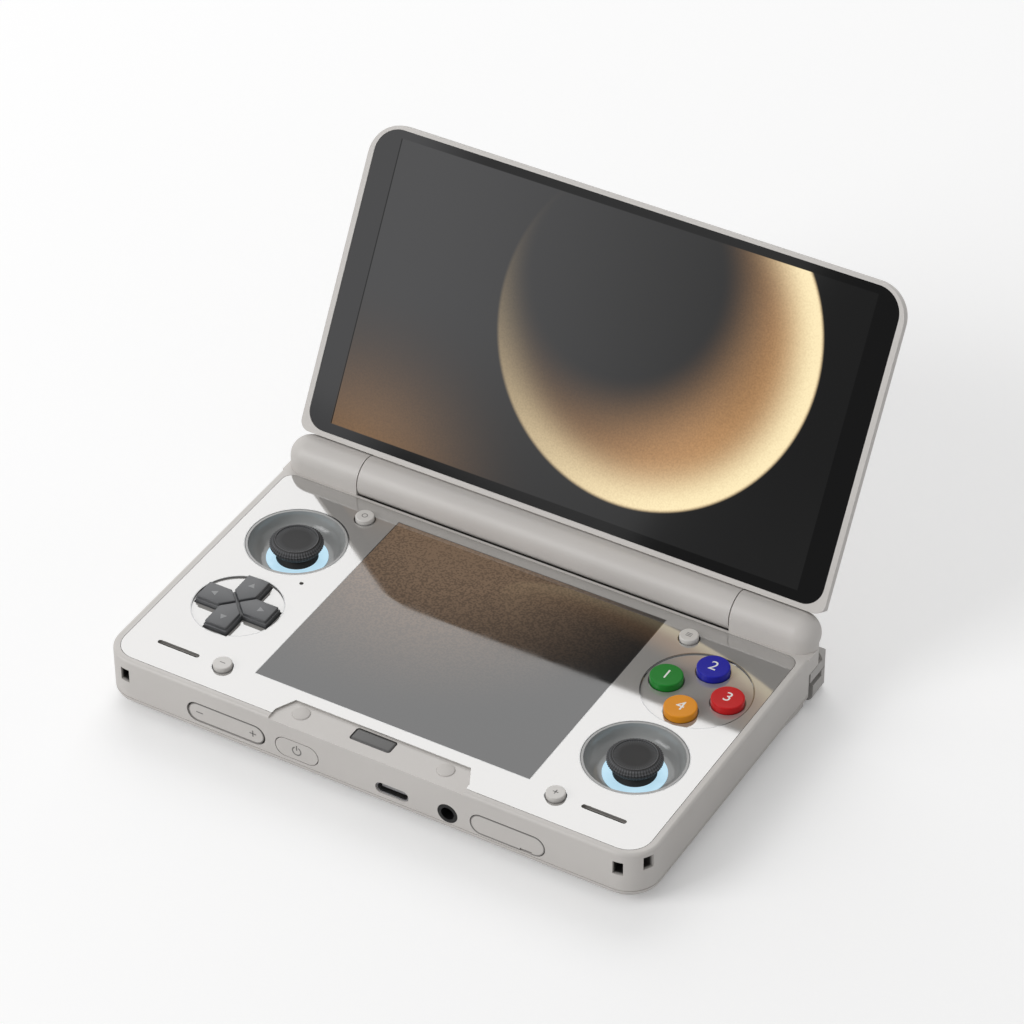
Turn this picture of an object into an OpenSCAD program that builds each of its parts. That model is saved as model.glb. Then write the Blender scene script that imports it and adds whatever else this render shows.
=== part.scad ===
// Clamshell handheld game console, shown open.
// Origin: middle of the open console's footprint, Z = 0 on the plane the feet rest on.
// +X is the player's right, +Y runs back to the hinge, all sizes in millimetres.

/* [Overall] */
// Width over the base
body_w = 150; // [140:1:182]
// Depth of the closed console
body_d = 94; // [90:1:114]
// Height of the face plate above the table
plate_z = 16.2; // [15.6:0.1:19.5]
// Angle the lid stands open, counted from closed
lid_open = 119.85; // [90:0.05:150]

/* [Housing] */
// Corner radius of the base in plan
corner_r = 8.15; // [7:0.05:9.8]
// Wall thickness of the base housing
wall = 1.8; // [1.4:0.1:2.2]
// Thickness of the face plate and of the lower glass
plate_t = 0.8; // [0.6:0.05:1]
// Thickness of the deck that carries the face plate
deck_t = 1.2; // [1:0.1:1.4]
// Rounding of the housing's top edge
top_round = 0.9; // [0.5:0.05:1.2]
// Rounding of the housing's lower edge
bottom_round = 1.9; // [1.5:0.1:1.9]

/* [Hinge] */
// Radius of the hinge barrel and of the two knuckles
knuckle_r = 5.3; // [4.8:0.1:5.8]
// Length of each knuckle, between the lid's barrel and the base's side
knuckle_len = 21.9; // [20:0.1:24]
// Radius of the hinge pins
pin_r = 2.4; // [2:0.1:2.6]

/* [Lid] */
// Thickness of the lid behind the hinge line
lid_t = 6.6; // [6.4:0.1:7.8]
// Rounding of the lid's back edges
lid_round = 6.2; // [5:0.1:6.4]
// Thickness of the upper glass
lid_glass_t = 0.7; // [0.5:0.05:0.9]

/* [Controls] */
// Radius of the openings round the sticks
well_r = 12.9; // [12.4:0.1:13.2]
// Radius of the sticks' caps
stick_r = 6.9; // [6:0.1:7.2]
// Radius of the four face buttons
button_r = 4.1; // [3.4:0.1:4.8]
// Distance of a face button from the middle of its cluster
button_step = 8.3; // [7.6:0.1:8.6]
// Width of a direction pad arm
dpad_arm = 6.6; // [5.5:0.1:7.9]
// Tip to tip span of the direction pad
dpad_span = 20.6; // [18:0.1:21]

/* [Hidden] */
$fa = 4;
$fs = 0.3;

half_w = body_w / 2;

// Lid, in its own frame: origin on the hinge line, Y up the lid, Z out of the glass
hinge_back = 6.5;
lid_lean = 180 - lid_open;
lid_far = body_d - hinge_back;
back_n = -lid_t;
lid_reach = (lid_far - lid_round) * cos(lid_lean) - (back_n + lid_round) * sin(lid_lean) + lid_round;

// Plan lines: the open lid's reach sets where the origin lies under the base
front_y = -(lid_far + lid_reach) / 2;
rear_y = front_y + body_d;
mid_y = (front_y + rear_y) / 2;

// Running clearance of pins, the gap round moving pieces and the fit of set-in pieces
run_gap = 0.05;
move_gap = 0.3;
set_gap = 0.05;

// Fine joint lines round the face plate, the stick wells and the housing halves
line_gap = 0.13;
groove_h = 0.25;
groove_d = 0.2;

// Levels of the base, counted up from the table
belly_z = 0.6;
cover_z = 2.6;
parting_z = 4.8;
pocket_z = plate_z - plate_t;
deck_z = pocket_z - deck_t;
floor_z = belly_z + 1.6;
rim_floor_z = cover_z + 1.6;
board_z = 4.9;
board_top = board_z + 1;
eps = 0.01;

// Hinge line, and the plan lines that follow from it
hinge_y = rear_y - hinge_back;
hinge_z = plate_z + knuckle_r - 2.5;
knuckle_x = half_w - knuckle_len;
barrel_half = knuckle_x - move_gap;
knuckle_front = hinge_y - knuckle_r;
trough_r = knuckle_r + move_gap;
side_end = knuckle_front + 0.5;
block_half = half_w - 25;
block_rear = rear_y - 2;
block_top = hinge_z - trough_r;

// Face plate outline
plate_half = half_w - 2.15;
plate_front = front_y + 1.7;
plate_rear = knuckle_front - 0.85;

// Notch in the middle of the plate's front edge
notch_half = 26.8;
notch_end_half = 24.2;
notch_depth = 8.4;

// Lower screen window
screen_half = half_w - 37;
screen_front = front_y + 11.9;
screen_rear = rear_y - 15.9;

// Middles of the controls
upper_row = rear_y - 35.05;
lower_row = front_y + 30.8;
left_stick = [-half_w + 18.85, upper_row];
right_stick = [half_w - 19.35, lower_row];
dpad_at = [-half_w + 19.7, lower_row];
face_at = [half_w - 18.1, upper_row + 0.1];
small_x = half_w - 28.9;
small_upper_y = rear_y - 19;
small_lower_y = front_y + 10;
speaker_at = [half_w - 16.1, front_y + 10.1];
mic_at = [-half_w + 28.6, mid_y - 1.2];

// Openings in the plate and the pieces that sit in them
small_r = 2.4;
small_gap = 0.25;
button_gap = 0.15;
pad_dish_r = 11.4;
face_dish_r = 13.6;
mic_r = 0.55;
speaker_slot = [11.9, 1.35];

// Front wall pieces: middle in X and height above the table
volume_at = [-39.1, 8.6];
power_at = [-19.05, 8.6];
usb_at = [7.4, board_top + 1.6];
jack_at = [22.65, 7.7];
card_at = [38.85, 8.2];
volume_size = [22.4, 5.9];
power_size = [12.3, 5.9];
usb_size = [9.2, 3.3];
card_size = [20.3, 6.1];
jack_r = 2.7;

// Stick works
pivot_z = plate_z - 8;
ring_z = pivot_z + 3.1;
cap_low_z = plate_z - 2.5;
cap_top_z = plate_z + 1;
dome_r = 5.9;
ring_in = dome_r - 0.55;
ring_out = 7.8;
ring_t = 0.3;
yoke_pin_r = 0.8;
shaft_pin_r = 0.65;
stick_shaft_r = 1.5;

// Screws that hold the bottom cover, and the bosses they go up into
screw_r = 0.9;
screw_head_r = 1.8;
screw_head_t = 0.8;
boss_r = 2.3;
screw_spots = [
    [half_w - 5, front_y + 16],
    [-half_w + 5, front_y + 16],
    [half_w - 5, rear_y - 17.5],
    [-half_w + 5, rear_y - 17.5],
    [block_half - 5, rear_y - 7],
    [-block_half + 5, rear_y - 7],
    [-5, front_y + 5],
];

// Lid sizes in its own frame
glass_n = 0.56;
rim_n = glass_n + 0.2;
lid_half_w = half_w - 0.5;
lid_near = knuckle_r + move_gap;
lid_top_r = 9;
lid_low_r = 2.7;
glass_half = lid_half_w - 1.53;
glass_near = lid_near + 1.4;
glass_far = lid_far - 1.1;
lid_floor = back_n + 1.7;

// Plain helpers

module block(x, y, z) {
    translate([x[0], y[0], z[0]])
        cube([x[1] - x[0], y[1] - y[0], z[1] - z[0]]);
}

module both_sides() {
    children();
    mirror([1, 0, 0])
        children();
}

// Bar along X whose section is drawn as (y, z)
module along_x(x0, x1) {
    translate([x0, 0, 0])
        rotate([90, 0, 90])
            linear_extrude(x1 - x0)
                children();
}

// Bar along Y whose section is drawn as (x, z)
module along_y(y0, y1) {
    translate([0, y1, 0])
        rotate([90, 0, 0])
            linear_extrude(y1 - y0)
                children();
}

module rod_x(x0, x1, r) {
    translate([x0, 0, 0])
        rotate([0, 90, 0])
            cylinder(h = x1 - x0, r = r);
}

module rod_y(y0, y1, r) {
    translate([0, y0, 0])
        rotate([-90, 0, 0])
            cylinder(h = y1 - y0, r = r);
}

module pill(w, h) {
    square([w - h, h], center = true);
    for (side = [-1, 1])
        translate([side * (w - h) / 2, 0])
            circle(h / 2);
}

// Rectangle given by its limits, with one radius in front and one behind
module plan(half_x, y0, y1, r_front, r_rear) {
    translate([-half_x, y0 + r_front])
        square([2 * half_x, y1 - y0 - r_front - r_rear]);
    translate([-half_x + r_front, y0])
        square([2 * (half_x - r_front), r_front]);
    translate([-half_x + r_rear, y1 - r_rear])
        square([2 * (half_x - r_rear), r_rear]);
    for (side = [-1, 1]) {
        translate([side * (half_x - r_front), y0 + r_front])
            circle(r_front);
        translate([side * (half_x - r_rear), y1 - r_rear])
            circle(r_rear);
    }
}

module quarter_disc(r) {
    intersection() {
        circle(r);
        square(r);
    }
}

// Body whose rounded edge section, drawn out from the corner middle, runs round front and sides
module edged_body(half_x, y0, y1, r, z0, z1) {
    block([-half_x + r, half_x - r], [y0 + r, y1], [z0, z1]);
    both_sides()
        translate([half_x - r, 0, 0])
            along_y(y0 + r, y1)
                children();
    both_sides()
        translate([half_x - r, y0 + r, 0])
            rotate([0, 0, -90])
                rotate_extrude(angle = 90)
                    children();
    along_x(-half_x + r, half_x - r)
        translate([y0 + r, 0])
            mirror([1, 0])
                children();
}

// Base frame: side walls, deck, hinge knuckles and lanyard loops

module frame_section() {
    translate([0, parting_z])
        square([corner_r, plate_z - top_round - parting_z]);
    translate([0, plate_z - top_round])
        square([corner_r - top_round, top_round]);
    translate([corner_r - top_round, plate_z - top_round])
        quarter_disc(top_round);
}

// Right knuckle: round above the hinge line, square in front below it, domed at its outer end
module knuckle() {
    end_x = half_w - knuckle_r;
    shelf_z = 11;
    along_x(knuckle_x, end_x)
        translate([hinge_y, hinge_z])
            circle(knuckle_r);
    block([knuckle_x, end_x], [knuckle_front, hinge_y], [shelf_z, hinge_z]);
    translate([end_x, hinge_y, hinge_z])
        rotate([45, 0, 45])
            sphere(r = knuckle_r);
    translate([end_x, hinge_y, shelf_z])
        linear_extrude(hinge_z - shelf_z)
            rotate(-90)
                quarter_disc(knuckle_r);
    block([end_x, half_w], [knuckle_front, hinge_y], [shelf_z, plate_z]);
    block([block_half, half_w - 2], [knuckle_front, hinge_y + 1.5], [shelf_z, plate_z - 1.2]);
}

bumper_pin = [block_half + 3.5, hinge_y - 1];

module notch_outline() {
    bend_y = plate_front + 1.6;
    end_y = front_y + notch_depth;
    polygon([[-notch_half, front_y - 1], [notch_half, front_y - 1], [notch_half, bend_y],
        [notch_end_half, end_y], [-notch_end_half, end_y], [-notch_half, bend_y]]);
}

module plate_outline(grow) {
    difference() {
        plan(plate_half + grow, plate_front - grow, plate_rear + grow, 6 + grow, 3 + grow);
        notch_outline();
    }
}

// Openings for the sticks, the small buttons and the speakers
module control_holes() {
    for (at = [left_stick, right_stick])
        translate(at)
            circle(well_r);
    for (side = [-1, 1]) {
        for (y = [small_upper_y, small_lower_y])
            translate([side * small_x, y])
                circle(small_r + small_gap);
        translate([side * speaker_at[0], speaker_at[1]])
            pill(speaker_slot[0], speaker_slot[1]);
    }
}

lanyard_x = half_w - 6.9;
lanyard_y = front_y + 4.35;
lanyard_half = 1.3;

// Corner block with a channel from the front wall round to the side wall
module lanyard_block() {
    intersection() {
        translate([0, 0, 8])
            linear_extrude(deck_z - 8)
                plan(half_w - 1, front_y + 1, mid_y, corner_r - 1, 1);
        block([lanyard_x - 2.8, half_w], [front_y, lanyard_y + 2.6], [8, deck_z]);
    }
}

module lanyard_channel() {
    block([lanyard_x - lanyard_half, lanyard_x + lanyard_half], [front_y - 1, lanyard_y + 1.25],
        [9.5, 13.3]);
    block([lanyard_x - lanyard_half, half_w + 1], [lanyard_y - 1.25, lanyard_y + 1.25],
        [10.9, 14.6]);
}

module screw_boss(at, z0, z1) {
    translate([at[0], at[1], z0])
        cylinder(h = z1 - z0, r = boss_r);
}

module front_wall_cuts() {
    along_y(front_y - 1, front_y + wall + 1) {
        translate(volume_at)
            pill(volume_size[0], volume_size[1]);
        translate(power_at)
            pill(power_size[0], power_size[1]);
        translate(usb_at)
            pill(usb_size[0], usb_size[1]);
        translate(jack_at)
            circle(jack_r + set_gap);
        translate(card_at)
            pill(card_size[0], card_size[1]);
    }
}

module frame_solid() {
    edged_body(half_w, front_y, knuckle_front, corner_r, parting_z, plate_z)
        frame_section();
    both_sides()
        knuckle();
    both_sides()
        block([block_half, half_w], [knuckle_front, side_end], [parting_z, 11]);
    block([-block_half, block_half], [knuckle_front, block_rear], [parting_z, block_top]);
}

module frame_cavity() {
    translate([0, 0, parting_z - 1])
        linear_extrude(deck_z - parting_z + 1)
            plan(half_w - wall, front_y + wall, knuckle_front - wall, corner_r - wall, 1);
    block([-block_half + wall, block_half - wall], [mid_y, block_rear - wall],
        [parting_z - 1, block_top - wall]);
}

module base_frame() {
    color("Gainsboro")
        difference() {
            union() {
                difference() {
                    frame_solid();
                    frame_cavity();
                }
                both_sides()
                    lanyard_block();
                for (at = screw_spots)
                    screw_boss(at, parting_z, at[1] > hinge_y - 3 ? block_top - wall : deck_z);
                both_sides()
                    translate([bumper_pin[0], bumper_pin[1], 8.1])
                        cylinder(h = 3, r = 1);
                board_posts();
            }
            translate([0, 0, pocket_z])
                linear_extrude(plate_t + 1)
                    plate_outline(line_gap);
            translate([0, 0, pocket_z + 0.2])
                linear_extrude(plate_t + 1)
                    notch_outline();
            translate([0, 0, deck_z - 1])
                linear_extrude(deck_t + 2)
                    deck_holes();
            both_sides()
                lanyard_channel();
            front_wall_cuts();
            translate([0, hinge_y, hinge_z])
                rod_x(-knuckle_x, knuckle_x, trough_r);
            for (side = [-1, 1])
                translate([0, hinge_y, hinge_z])
                    rod_x(side * (knuckle_x + 5) - 5 - eps, side * (knuckle_x + 5) + 5 + eps, pin_r);
            for (at = screw_spots)
                translate([at[0], at[1], parting_z - 1])
                    cylinder(h = 6, r = screw_r);
            exhaust_slots();
            badge_pocket();
            pad_pockets();
        }
}

// Holes through the deck: like the plate's, but clear of the pads' and buttons' bosses
module deck_holes() {
    control_holes();
    translate(dpad_at)
        circle(pad_dish_r + 1.2);
    translate(face_at)
        circle(face_dish_r + 1);
    translate([0, (screen_front + screen_rear) / 2])
        square([2 * screen_half + 3.2, screen_rear - screen_front + 3.2], center = true);
}

// Posts that hang the two button boards under the deck
board_drop = deck_z - 2.4;
module board_posts() {
    for (at = board_post_spots)
        translate([at[0], at[1], board_drop])
            cylinder(h = deck_z - board_drop + eps, r = 1.3);
}

board_post_spots = [
    [dpad_at[0] - 10.5, dpad_at[1] - 10.5],
    [dpad_at[0] + 10.5, dpad_at[1] - 10.5],
    [face_at[0] + 12.5, face_at[1] + 12.5],
    [face_at[0] - 11.2, face_at[1] - 11.2],
];

module exhaust_slots() {
    for (i = [-5 : 5])
        translate([i * 3, 0, 0])
            block([-0.9, 0.9], [block_rear - wall - 1, block_rear + 1], [6, 10.6]);
}

badge_at = [-1, front_y + 5.8];
badge_size = [11.2, 4.3];
badge_r = 0.8;
badge_seat = 0.5;
module badge_outline(grow) {
    half_x = badge_size[0] / 2 - badge_r;
    half_y = badge_size[1] / 2 - badge_r;
    translate(badge_at) {
        square([badge_size[0] + 2 * grow, 2 * half_y], center = true);
        square([2 * half_x, badge_size[1] + 2 * grow], center = true);
        for (sx = [-1, 1])
            for (sy = [-1, 1])
                translate([sx * half_x, sy * half_y])
                    circle(badge_r + grow);
    }
}

module badge_pocket() {
    translate([0, 0, pocket_z - badge_seat])
        linear_extrude(3)
            badge_outline(set_gap);
}

pad_r = 2.2;
pad_seat = 0.7;
pad_spots = [[-20.85, front_y + 5.3], [19.15, front_y + 5.3]];
module pad_pockets() {
    for (at = pad_spots)
        translate([at[0], at[1], pocket_z - pad_seat])
            cylinder(h = 3, r = pad_r + set_gap);
}

// Face plate with its dished rests for the direction pad and the face buttons

dish_z = plate_z - 0.45;
boss_z = plate_z - 1.6;
button_spots = [
    [face_at[0], face_at[1] + button_step],
    [face_at[0] + button_step, face_at[1]],
    [face_at[0], face_at[1] - button_step],
    [face_at[0] - button_step, face_at[1]],
];

module dpad_cross(span, arm) {
    square([span, arm], center = true);
    square([arm, span], center = true);
}

module face_plate() {
    color("WhiteSmoke")
        difference() {
            union() {
                translate([0, 0, pocket_z])
                    linear_extrude(plate_t)
                        plate_outline(0);
                translate([dpad_at[0], dpad_at[1], boss_z])
                    cylinder(h = pocket_z - boss_z + eps, r = pad_dish_r + 1);
                translate([face_at[0], face_at[1], boss_z])
                    cylinder(h = pocket_z - boss_z + eps, r = face_dish_r + 0.8);
            }
            translate([0, 0, pocket_z - 1])
                linear_extrude(plate_t + 2) {
                    control_holes();
                    translate([-screen_half, screen_front])
                        square([2 * screen_half, screen_rear - screen_front]);
                }
            translate([dpad_at[0], dpad_at[1], dish_z])
                cylinder(h = 3, r = pad_dish_r);
            translate([face_at[0], face_at[1], dish_z + 0.1])
                cylinder(h = 3, r = face_dish_r);
            translate([dpad_at[0], dpad_at[1], boss_z - 1])
                linear_extrude(4)
                    dpad_cross(dpad_span + 2 * move_gap, dpad_arm + 2 * move_gap);
            for (at = button_spots)
                translate([at[0], at[1], boss_z - 1])
                    cylinder(h = 4, r = button_r + button_gap);
            translate([mic_at[0], mic_at[1], boss_z])
                cylinder(h = 4, r = mic_r);
        }
}

// Lower screen: glass flush with the plate and the panel under it, which reaches under its edge

panel_t = 2;
panel_lap = 1.5;

module lower_glass() {
    color("DimGray")
        block([-screen_half + set_gap, screen_half - set_gap],
            [screen_front + set_gap, screen_rear - set_gap], [pocket_z, plate_z]);
}

module lower_display() {
    color("SlateGray")
        block([-screen_half - panel_lap, screen_half + panel_lap],
            [screen_front - panel_lap, screen_rear + panel_lap], [pocket_z - panel_t, pocket_z]);
}

// Bottom cover: shallow tray with a raised belly, a deeper rear and air slots

// Edge section of the cover, with the joint line's groove under the parting plane
module cover_section() {
    bend_z = cover_z + bottom_round;
    translate([0, cover_z])
        square([corner_r - bottom_round, parting_z - cover_z]);
    translate([corner_r - bottom_round, bend_z])
        mirror([0, 1])
            quarter_disc(bottom_round);
    translate([0, bend_z - eps])
        square([corner_r, parting_z - groove_h - bend_z + eps]);
    translate([0, bend_z])
        square([corner_r - groove_d, parting_z - bend_z]);
}

module cover_solid() {
    edged_body(half_w, front_y, side_end, corner_r, cover_z, parting_z)
        cover_section();
    block([-block_half, block_half], [side_end, block_rear], [belly_z, parting_z]);
    along_x(-half_w + 1.2, half_w - 1.2)
        polygon([[rear_y - 29, cover_z], [rear_y - 15, belly_z], [side_end, belly_z],
            [side_end, cover_z + 1], [rear_y - 29, cover_z + 1]]);
    intersection() {
        along_y(front_y + 10, side_end)
            polygon([[-half_w + 13, cover_z + 0.5], [-half_w + 15.5, belly_z],
                [half_w - 15.5, belly_z], [half_w - 13, cover_z + 0.5]]);
        along_x(-half_w, half_w)
            polygon([[front_y + 17, cover_z + 0.5], [front_y + 19.5, belly_z],
                [side_end, belly_z], [side_end, cover_z + 0.5]]);
    }
}

foot_r = 4;
foot_seat = 0.6;
foot_boss_r = 5.4;
feet_spots = [
    [half_w - 23, front_y + 24.5],
    [-half_w + 23, front_y + 24.5],
    [half_w - 11, side_end - 5.7],
    [-half_w + 11, side_end - 5.7],
];

fan_at = [0, rear_y - 30];
fan_half = 17.5;
fan_step = 2.8;
fan_grille_r = 14;
axle_r = 0.8;

module bottom_cover() {
    color("Silver")
        difference() {
            union() {
                difference() {
                    cover_solid();
                    translate([0, 0, rim_floor_z])
                        linear_extrude(3)
                            plan(half_w - wall, front_y + wall, knuckle_front - wall,
                                corner_r - wall, 1);
                    block([-half_w + 18, half_w - 18], [front_y + 22, knuckle_front - wall],
                        [floor_z, parting_z + 1]);
                    block([-block_half + wall, block_half - wall], [mid_y, block_rear - wall],
                        [floor_z, parting_z + 1]);
                }
                for (at = screw_spots)
                    screw_boss(at, screw_head_z(at) + 0.1, parting_z);
                intersection() {
                    for (at = feet_spots)
                        translate([at[0], at[1], belly_z])
                            cylinder(h = 2.4, r = foot_boss_r);
                    block([-half_w, half_w], [front_y, rear_y], [belly_z, rim_floor_z]);
                }
            }
            for (at = screw_spots) {
                translate([at[0], at[1], belly_z - 1])
                    cylinder(h = 6, r = screw_r);
                translate([at[0], at[1], -1])
                    cylinder(h = screw_head_z(at) + 1, r = screw_head_r + set_gap);
            }
            for (at = feet_spots)
                translate([at[0], at[1], -1])
                    cylinder(h = belly_z + foot_seat + 1, r = foot_r + set_gap);
            intake_slots();
        }
}

function screw_head_z(at) = at[1] > rear_y - 18 ? belly_z + 1 : cover_z + 1;

module intake_slots() {
    for (i = [-4 : 4])
        translate([fan_at[0], fan_at[1] + i * fan_step, -1])
            linear_extrude(floor_z + 2)
                pill(2 * sqrt(pow(fan_grille_r, 2) - pow(i * fan_step, 2)), 1.2);
}

module rubber_feet() {
    color("DimGray")
        for (at = feet_spots)
            translate([at[0], at[1], 0])
                cylinder(h = belly_z + foot_seat, r = foot_r);
}

module cover_screws() {
    color("Gray")
        for (at = screw_spots) {
            translate([at[0], at[1], screw_head_z(at) - screw_head_t])
                cylinder(h = screw_head_t, r = screw_head_r);
            translate([at[0], at[1], screw_head_z(at) - eps])
                cylinder(h = 5, r = screw_r);
        }
}

// Small pieces of the front notch

module badge() {
    color("DimGray")
        translate([0, 0, pocket_z - badge_seat])
            linear_extrude(0.8)
                badge_outline(0);
}

module notch_pads() {
    color("LightGray")
        for (at = pad_spots)
            translate([at[0], at[1], pocket_z - pad_seat])
                cylinder(h = 1.15, r = pad_r);
}

// Boards and power

module main_board() {
    color("DarkGreen")
        difference() {
            translate([0, 0, board_z])
                linear_extrude(board_top - board_z)
                    plan(half_w - 3, front_y + 4.2, knuckle_front - 3, 5, 1);
            block([-half_w + 37, half_w - 37], [front_y + 17, rear_y],
                [board_z - 1, board_top + 1]);
            block([jack_at[0] - 3.2, jack_at[0] + 3.2], [front_y, front_y + 14],
                [board_z - 1, board_top + 1]);
            for (at = screw_spots)
                translate([at[0], at[1], 0])
                    cylinder(h = 20, r = boss_r + move_gap);
        }
}

module battery() {
    color("SlateGray")
        block([-half_w + 39, half_w - 39], [front_y + 22.5, fan_at[1] - 18.5],
            [floor_z, floor_z + 5.4]);
}

chip_t = 1.6;
module processor() {
    color("Silver")
        block([half_w - 36, half_w - 20], [fan_at[1] - 12, fan_at[1] + 2],
            [board_top, board_top + chip_t]);
}

module heat_sink() {
    fins_y = [fan_at[1] + fan_half - 0.1, block_rear - wall - 0.2];
    pipe_y = [fan_at[1] - 10, fins_y[0] + 4];
    pipe_z = [floor_z + 6.5, floor_z + 8.5];
    pipe_x = [half_w - 37, half_w - 33];
    color("Peru") {
        for (i = [-8 : 8])
            translate([i * 2, 0, 0])
                block([-0.2, 0.2], fins_y, [floor_z + 2, floor_z + 8]);
        block([-fan_half, fan_half], fins_y, [floor_z + 8, floor_z + 9]);
        block([-fan_half, fan_half], fins_y, [floor_z, floor_z + 2]);
        block([fan_half - 0.5, pipe_x[1]], [fins_y[0], pipe_y[1]], pipe_z);
        block(pipe_x, pipe_y, pipe_z);
        block([pipe_x[0], half_w - 25], [pipe_y[0], fan_at[1] + 1],
            [board_top + chip_t, pipe_z[0] + 0.1]);
    }
}

// Blower: a tray with a round chamber open to the rear, and its rotor

module fan_housing() {
    color("Black")
        difference() {
            block([-fan_half, fan_half], [fan_at[1] - fan_half + 0.1, fan_at[1] + fan_half - 0.1],
                [floor_z, floor_z + 7]);
            translate([fan_at[0], fan_at[1], floor_z + 0.6])
                cylinder(h = 5.8, r = 15);
            block([-1, 16], [fan_at[1], fan_at[1] + 20], [floor_z + 0.6, floor_z + 6.4]);
            translate([fan_at[0], fan_at[1], floor_z - 1])
                difference() {
                    cylinder(h = 10, r = 10);
                    cylinder(h = 10, r = 4.5);
                    translate([-20, -1, 0])
                        cube([40, 2, 10]);
                }
        }
    color("Black")
        translate([fan_at[0], fan_at[1], floor_z + 0.3])
            cylinder(h = 5, r = axle_r);
}

module fan_rotor() {
    color("DimGray")
        translate([fan_at[0], fan_at[1], floor_z + 0.9])
            difference() {
                union() {
                    cylinder(h = 5, r = 5);
                    cylinder(h = 0.6, r = 12);
                    for (i = [0 : 12])
                        rotate(i * 360 / 13)
                            translate([4, 1, 0])
                                rotate(18)
                                    cube([9, 0.6, 4.6]);
                }
                translate([0, 0, -1])
                    cylinder(h = 5.6, r = axle_r + run_gap);
            }
}

// Ports behind the front wall

module usb_port() {
    color("Silver")
        along_y(front_y + 0.4, front_y + 7.8)
            translate(usb_at)
                difference() {
                    pill(9, 3.2);
                    pill(8.34, 2.56);
                }
    color("Silver")
        along_y(front_y + 7, front_y + 7.8)
            translate(usb_at)
                pill(8.6, 2.8);
    color("Black")
        along_y(front_y + 1.2, front_y + 7.4)
            translate(usb_at)
                square([6.7, 0.7], center = true);
}

module headphone_jack() {
    color("DimGray")
        difference() {
            union() {
                translate([jack_at[0], 0, jack_at[1]])
                    rod_y(front_y, front_y + 4, jack_r);
                block([jack_at[0] - 3.2, jack_at[0] + 3.2], [front_y + 3.2, front_y + 14],
                    [jack_at[1] - 2.6, jack_at[1] + 2.6]);
            }
            translate([jack_at[0], 0, jack_at[1]])
                rod_y(front_y - 1, front_y + 13, 1.75);
        }
}

module card_reader() {
    color("Silver")
        difference() {
            block([card_at[0] - 8.1, card_at[0] + 4.5], [front_y + 3.6, front_y + 18],
                [board_top, board_top + 2.4]);
            block([card_at[0] - 7.5, card_at[0] + 3.8], [front_y, front_y + 16],
                [board_top + 0.8, board_top + 1.7]);
        }
}

// Push-in cover over the card slot, with a fingernail notch in its lower edge
module card_cover() {
    color("Silver")
        difference() {
            union() {
                along_y(front_y, front_y + 1.3)
                    translate(card_at)
                        pill(card_size[0] - 0.4, card_size[1] - 0.4);
                along_y(front_y + 1.2, front_y + 3.3)
                    translate(card_at)
                        difference() {
                            pill(17, 4.6);
                            pill(14.6, 2.8);
                        }
            }
            translate([card_at[0] + 5, front_y - 0.4, card_at[1] - card_size[1] / 2 + 0.1])
                rod_x(-1.6, 1.6, 0.8);
        }
}

// Volume rocker and power button, with the key board that carries their switches

key_pivot_y = front_y + 3.7;

module volume_rocker() {
    color("Silver") {
        along_y(front_y + 0.1, front_y + 1.9)
            translate(volume_at)
                pill(volume_size[0] - 1, volume_size[1] - 0.6);
        along_y(front_y + 1.9, front_y + 2.6)
            translate(volume_at)
                pill(volume_size[0] - 2.4, volume_size[1] - 1.2);
        along_y(front_y + 2.6, front_y + 3.2)
            translate(volume_at)
                square([volume_size[0] - 3, 4.4], center = true);
        translate([volume_at[0], key_pivot_y, volume_at[1] - 2])
            cylinder(h = 4, r = 0.6);
    }
}

module power_button() {
    color("Silver") {
        along_y(front_y, front_y + 1.9)
            translate(power_at)
                pill(power_size[0] - 0.5, power_size[1] - 0.5);
        along_y(front_y + wall, front_y + 2.6)
            translate(power_at)
                pill(power_size[0] + 0.7, power_size[1] + 0.7);
        translate([power_at[0], 0, power_at[1]])
            rod_y(front_y + 2.5, front_y + 3.4, 1);
    }
}

module key_board() {
    color("DarkGreen")
        block([volume_at[0] - 11, power_at[0] + 6], [front_y + 4.3, front_y + 4.9],
            [board_top, board_top + 5.4]);
    color("Silver")
        for (x = [volume_at[0] - 8, volume_at[0] + 8, power_at[0]])
            block([x - 1.6, x + 1.6], [front_y + 3.8, front_y + 4.3 + eps],
                [volume_at[1] - 1.2, volume_at[1] + 1.2]);
}

// Speakers under the deck, with cloth in the slots

module speakers() {
    color("Black")
        both_sides()
            block([speaker_at[0] - 7.4, speaker_at[0] + 6], [speaker_at[1] - 4, speaker_at[1] + 4],
                [deck_z - 4.2, deck_z]);
}

module speaker_mesh() {
    color("DimGray")
        both_sides()
            translate([speaker_at[0], speaker_at[1], deck_z])
                linear_extrude(0.9)
                    pill(speaker_slot[0] - 2 * set_gap, speaker_slot[1] - 2 * set_gap);
}

// Sticks: bowl, light ring, base with its gimbal, shaft and cap

module at_sticks() {
    for (at = [left_stick, right_stick])
        translate([at[0], at[1], 0])
            children();
}

bowl_r = 4.3;
bowl_edge = 7.9;
module stick_wells() {
    color("Gray")
        at_sticks()
            rotate_extrude()
                difference() {
                    union() {
                        translate([6.2, pivot_z + 2.5])
                            square([well_r - 0.4 - 6.2, plate_z - 0.05 - pivot_z - 2.5]);
                        translate([well_r - 3, pocket_z])
                            square([3 - line_gap, plate_z - 0.05 - pocket_z]);
                        translate([8, deck_z - 0.8])
                            square([well_r + 0.9 - 8, 0.8]);
                    }
                    translate([bowl_edge, ring_z + bowl_r])
                        circle(bowl_r);
                    translate([0, ring_z])
                        square([bowl_edge, 20]);
                    translate([bowl_edge, ring_z + bowl_r])
                        square([bowl_r, 20]);
                }
}

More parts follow.
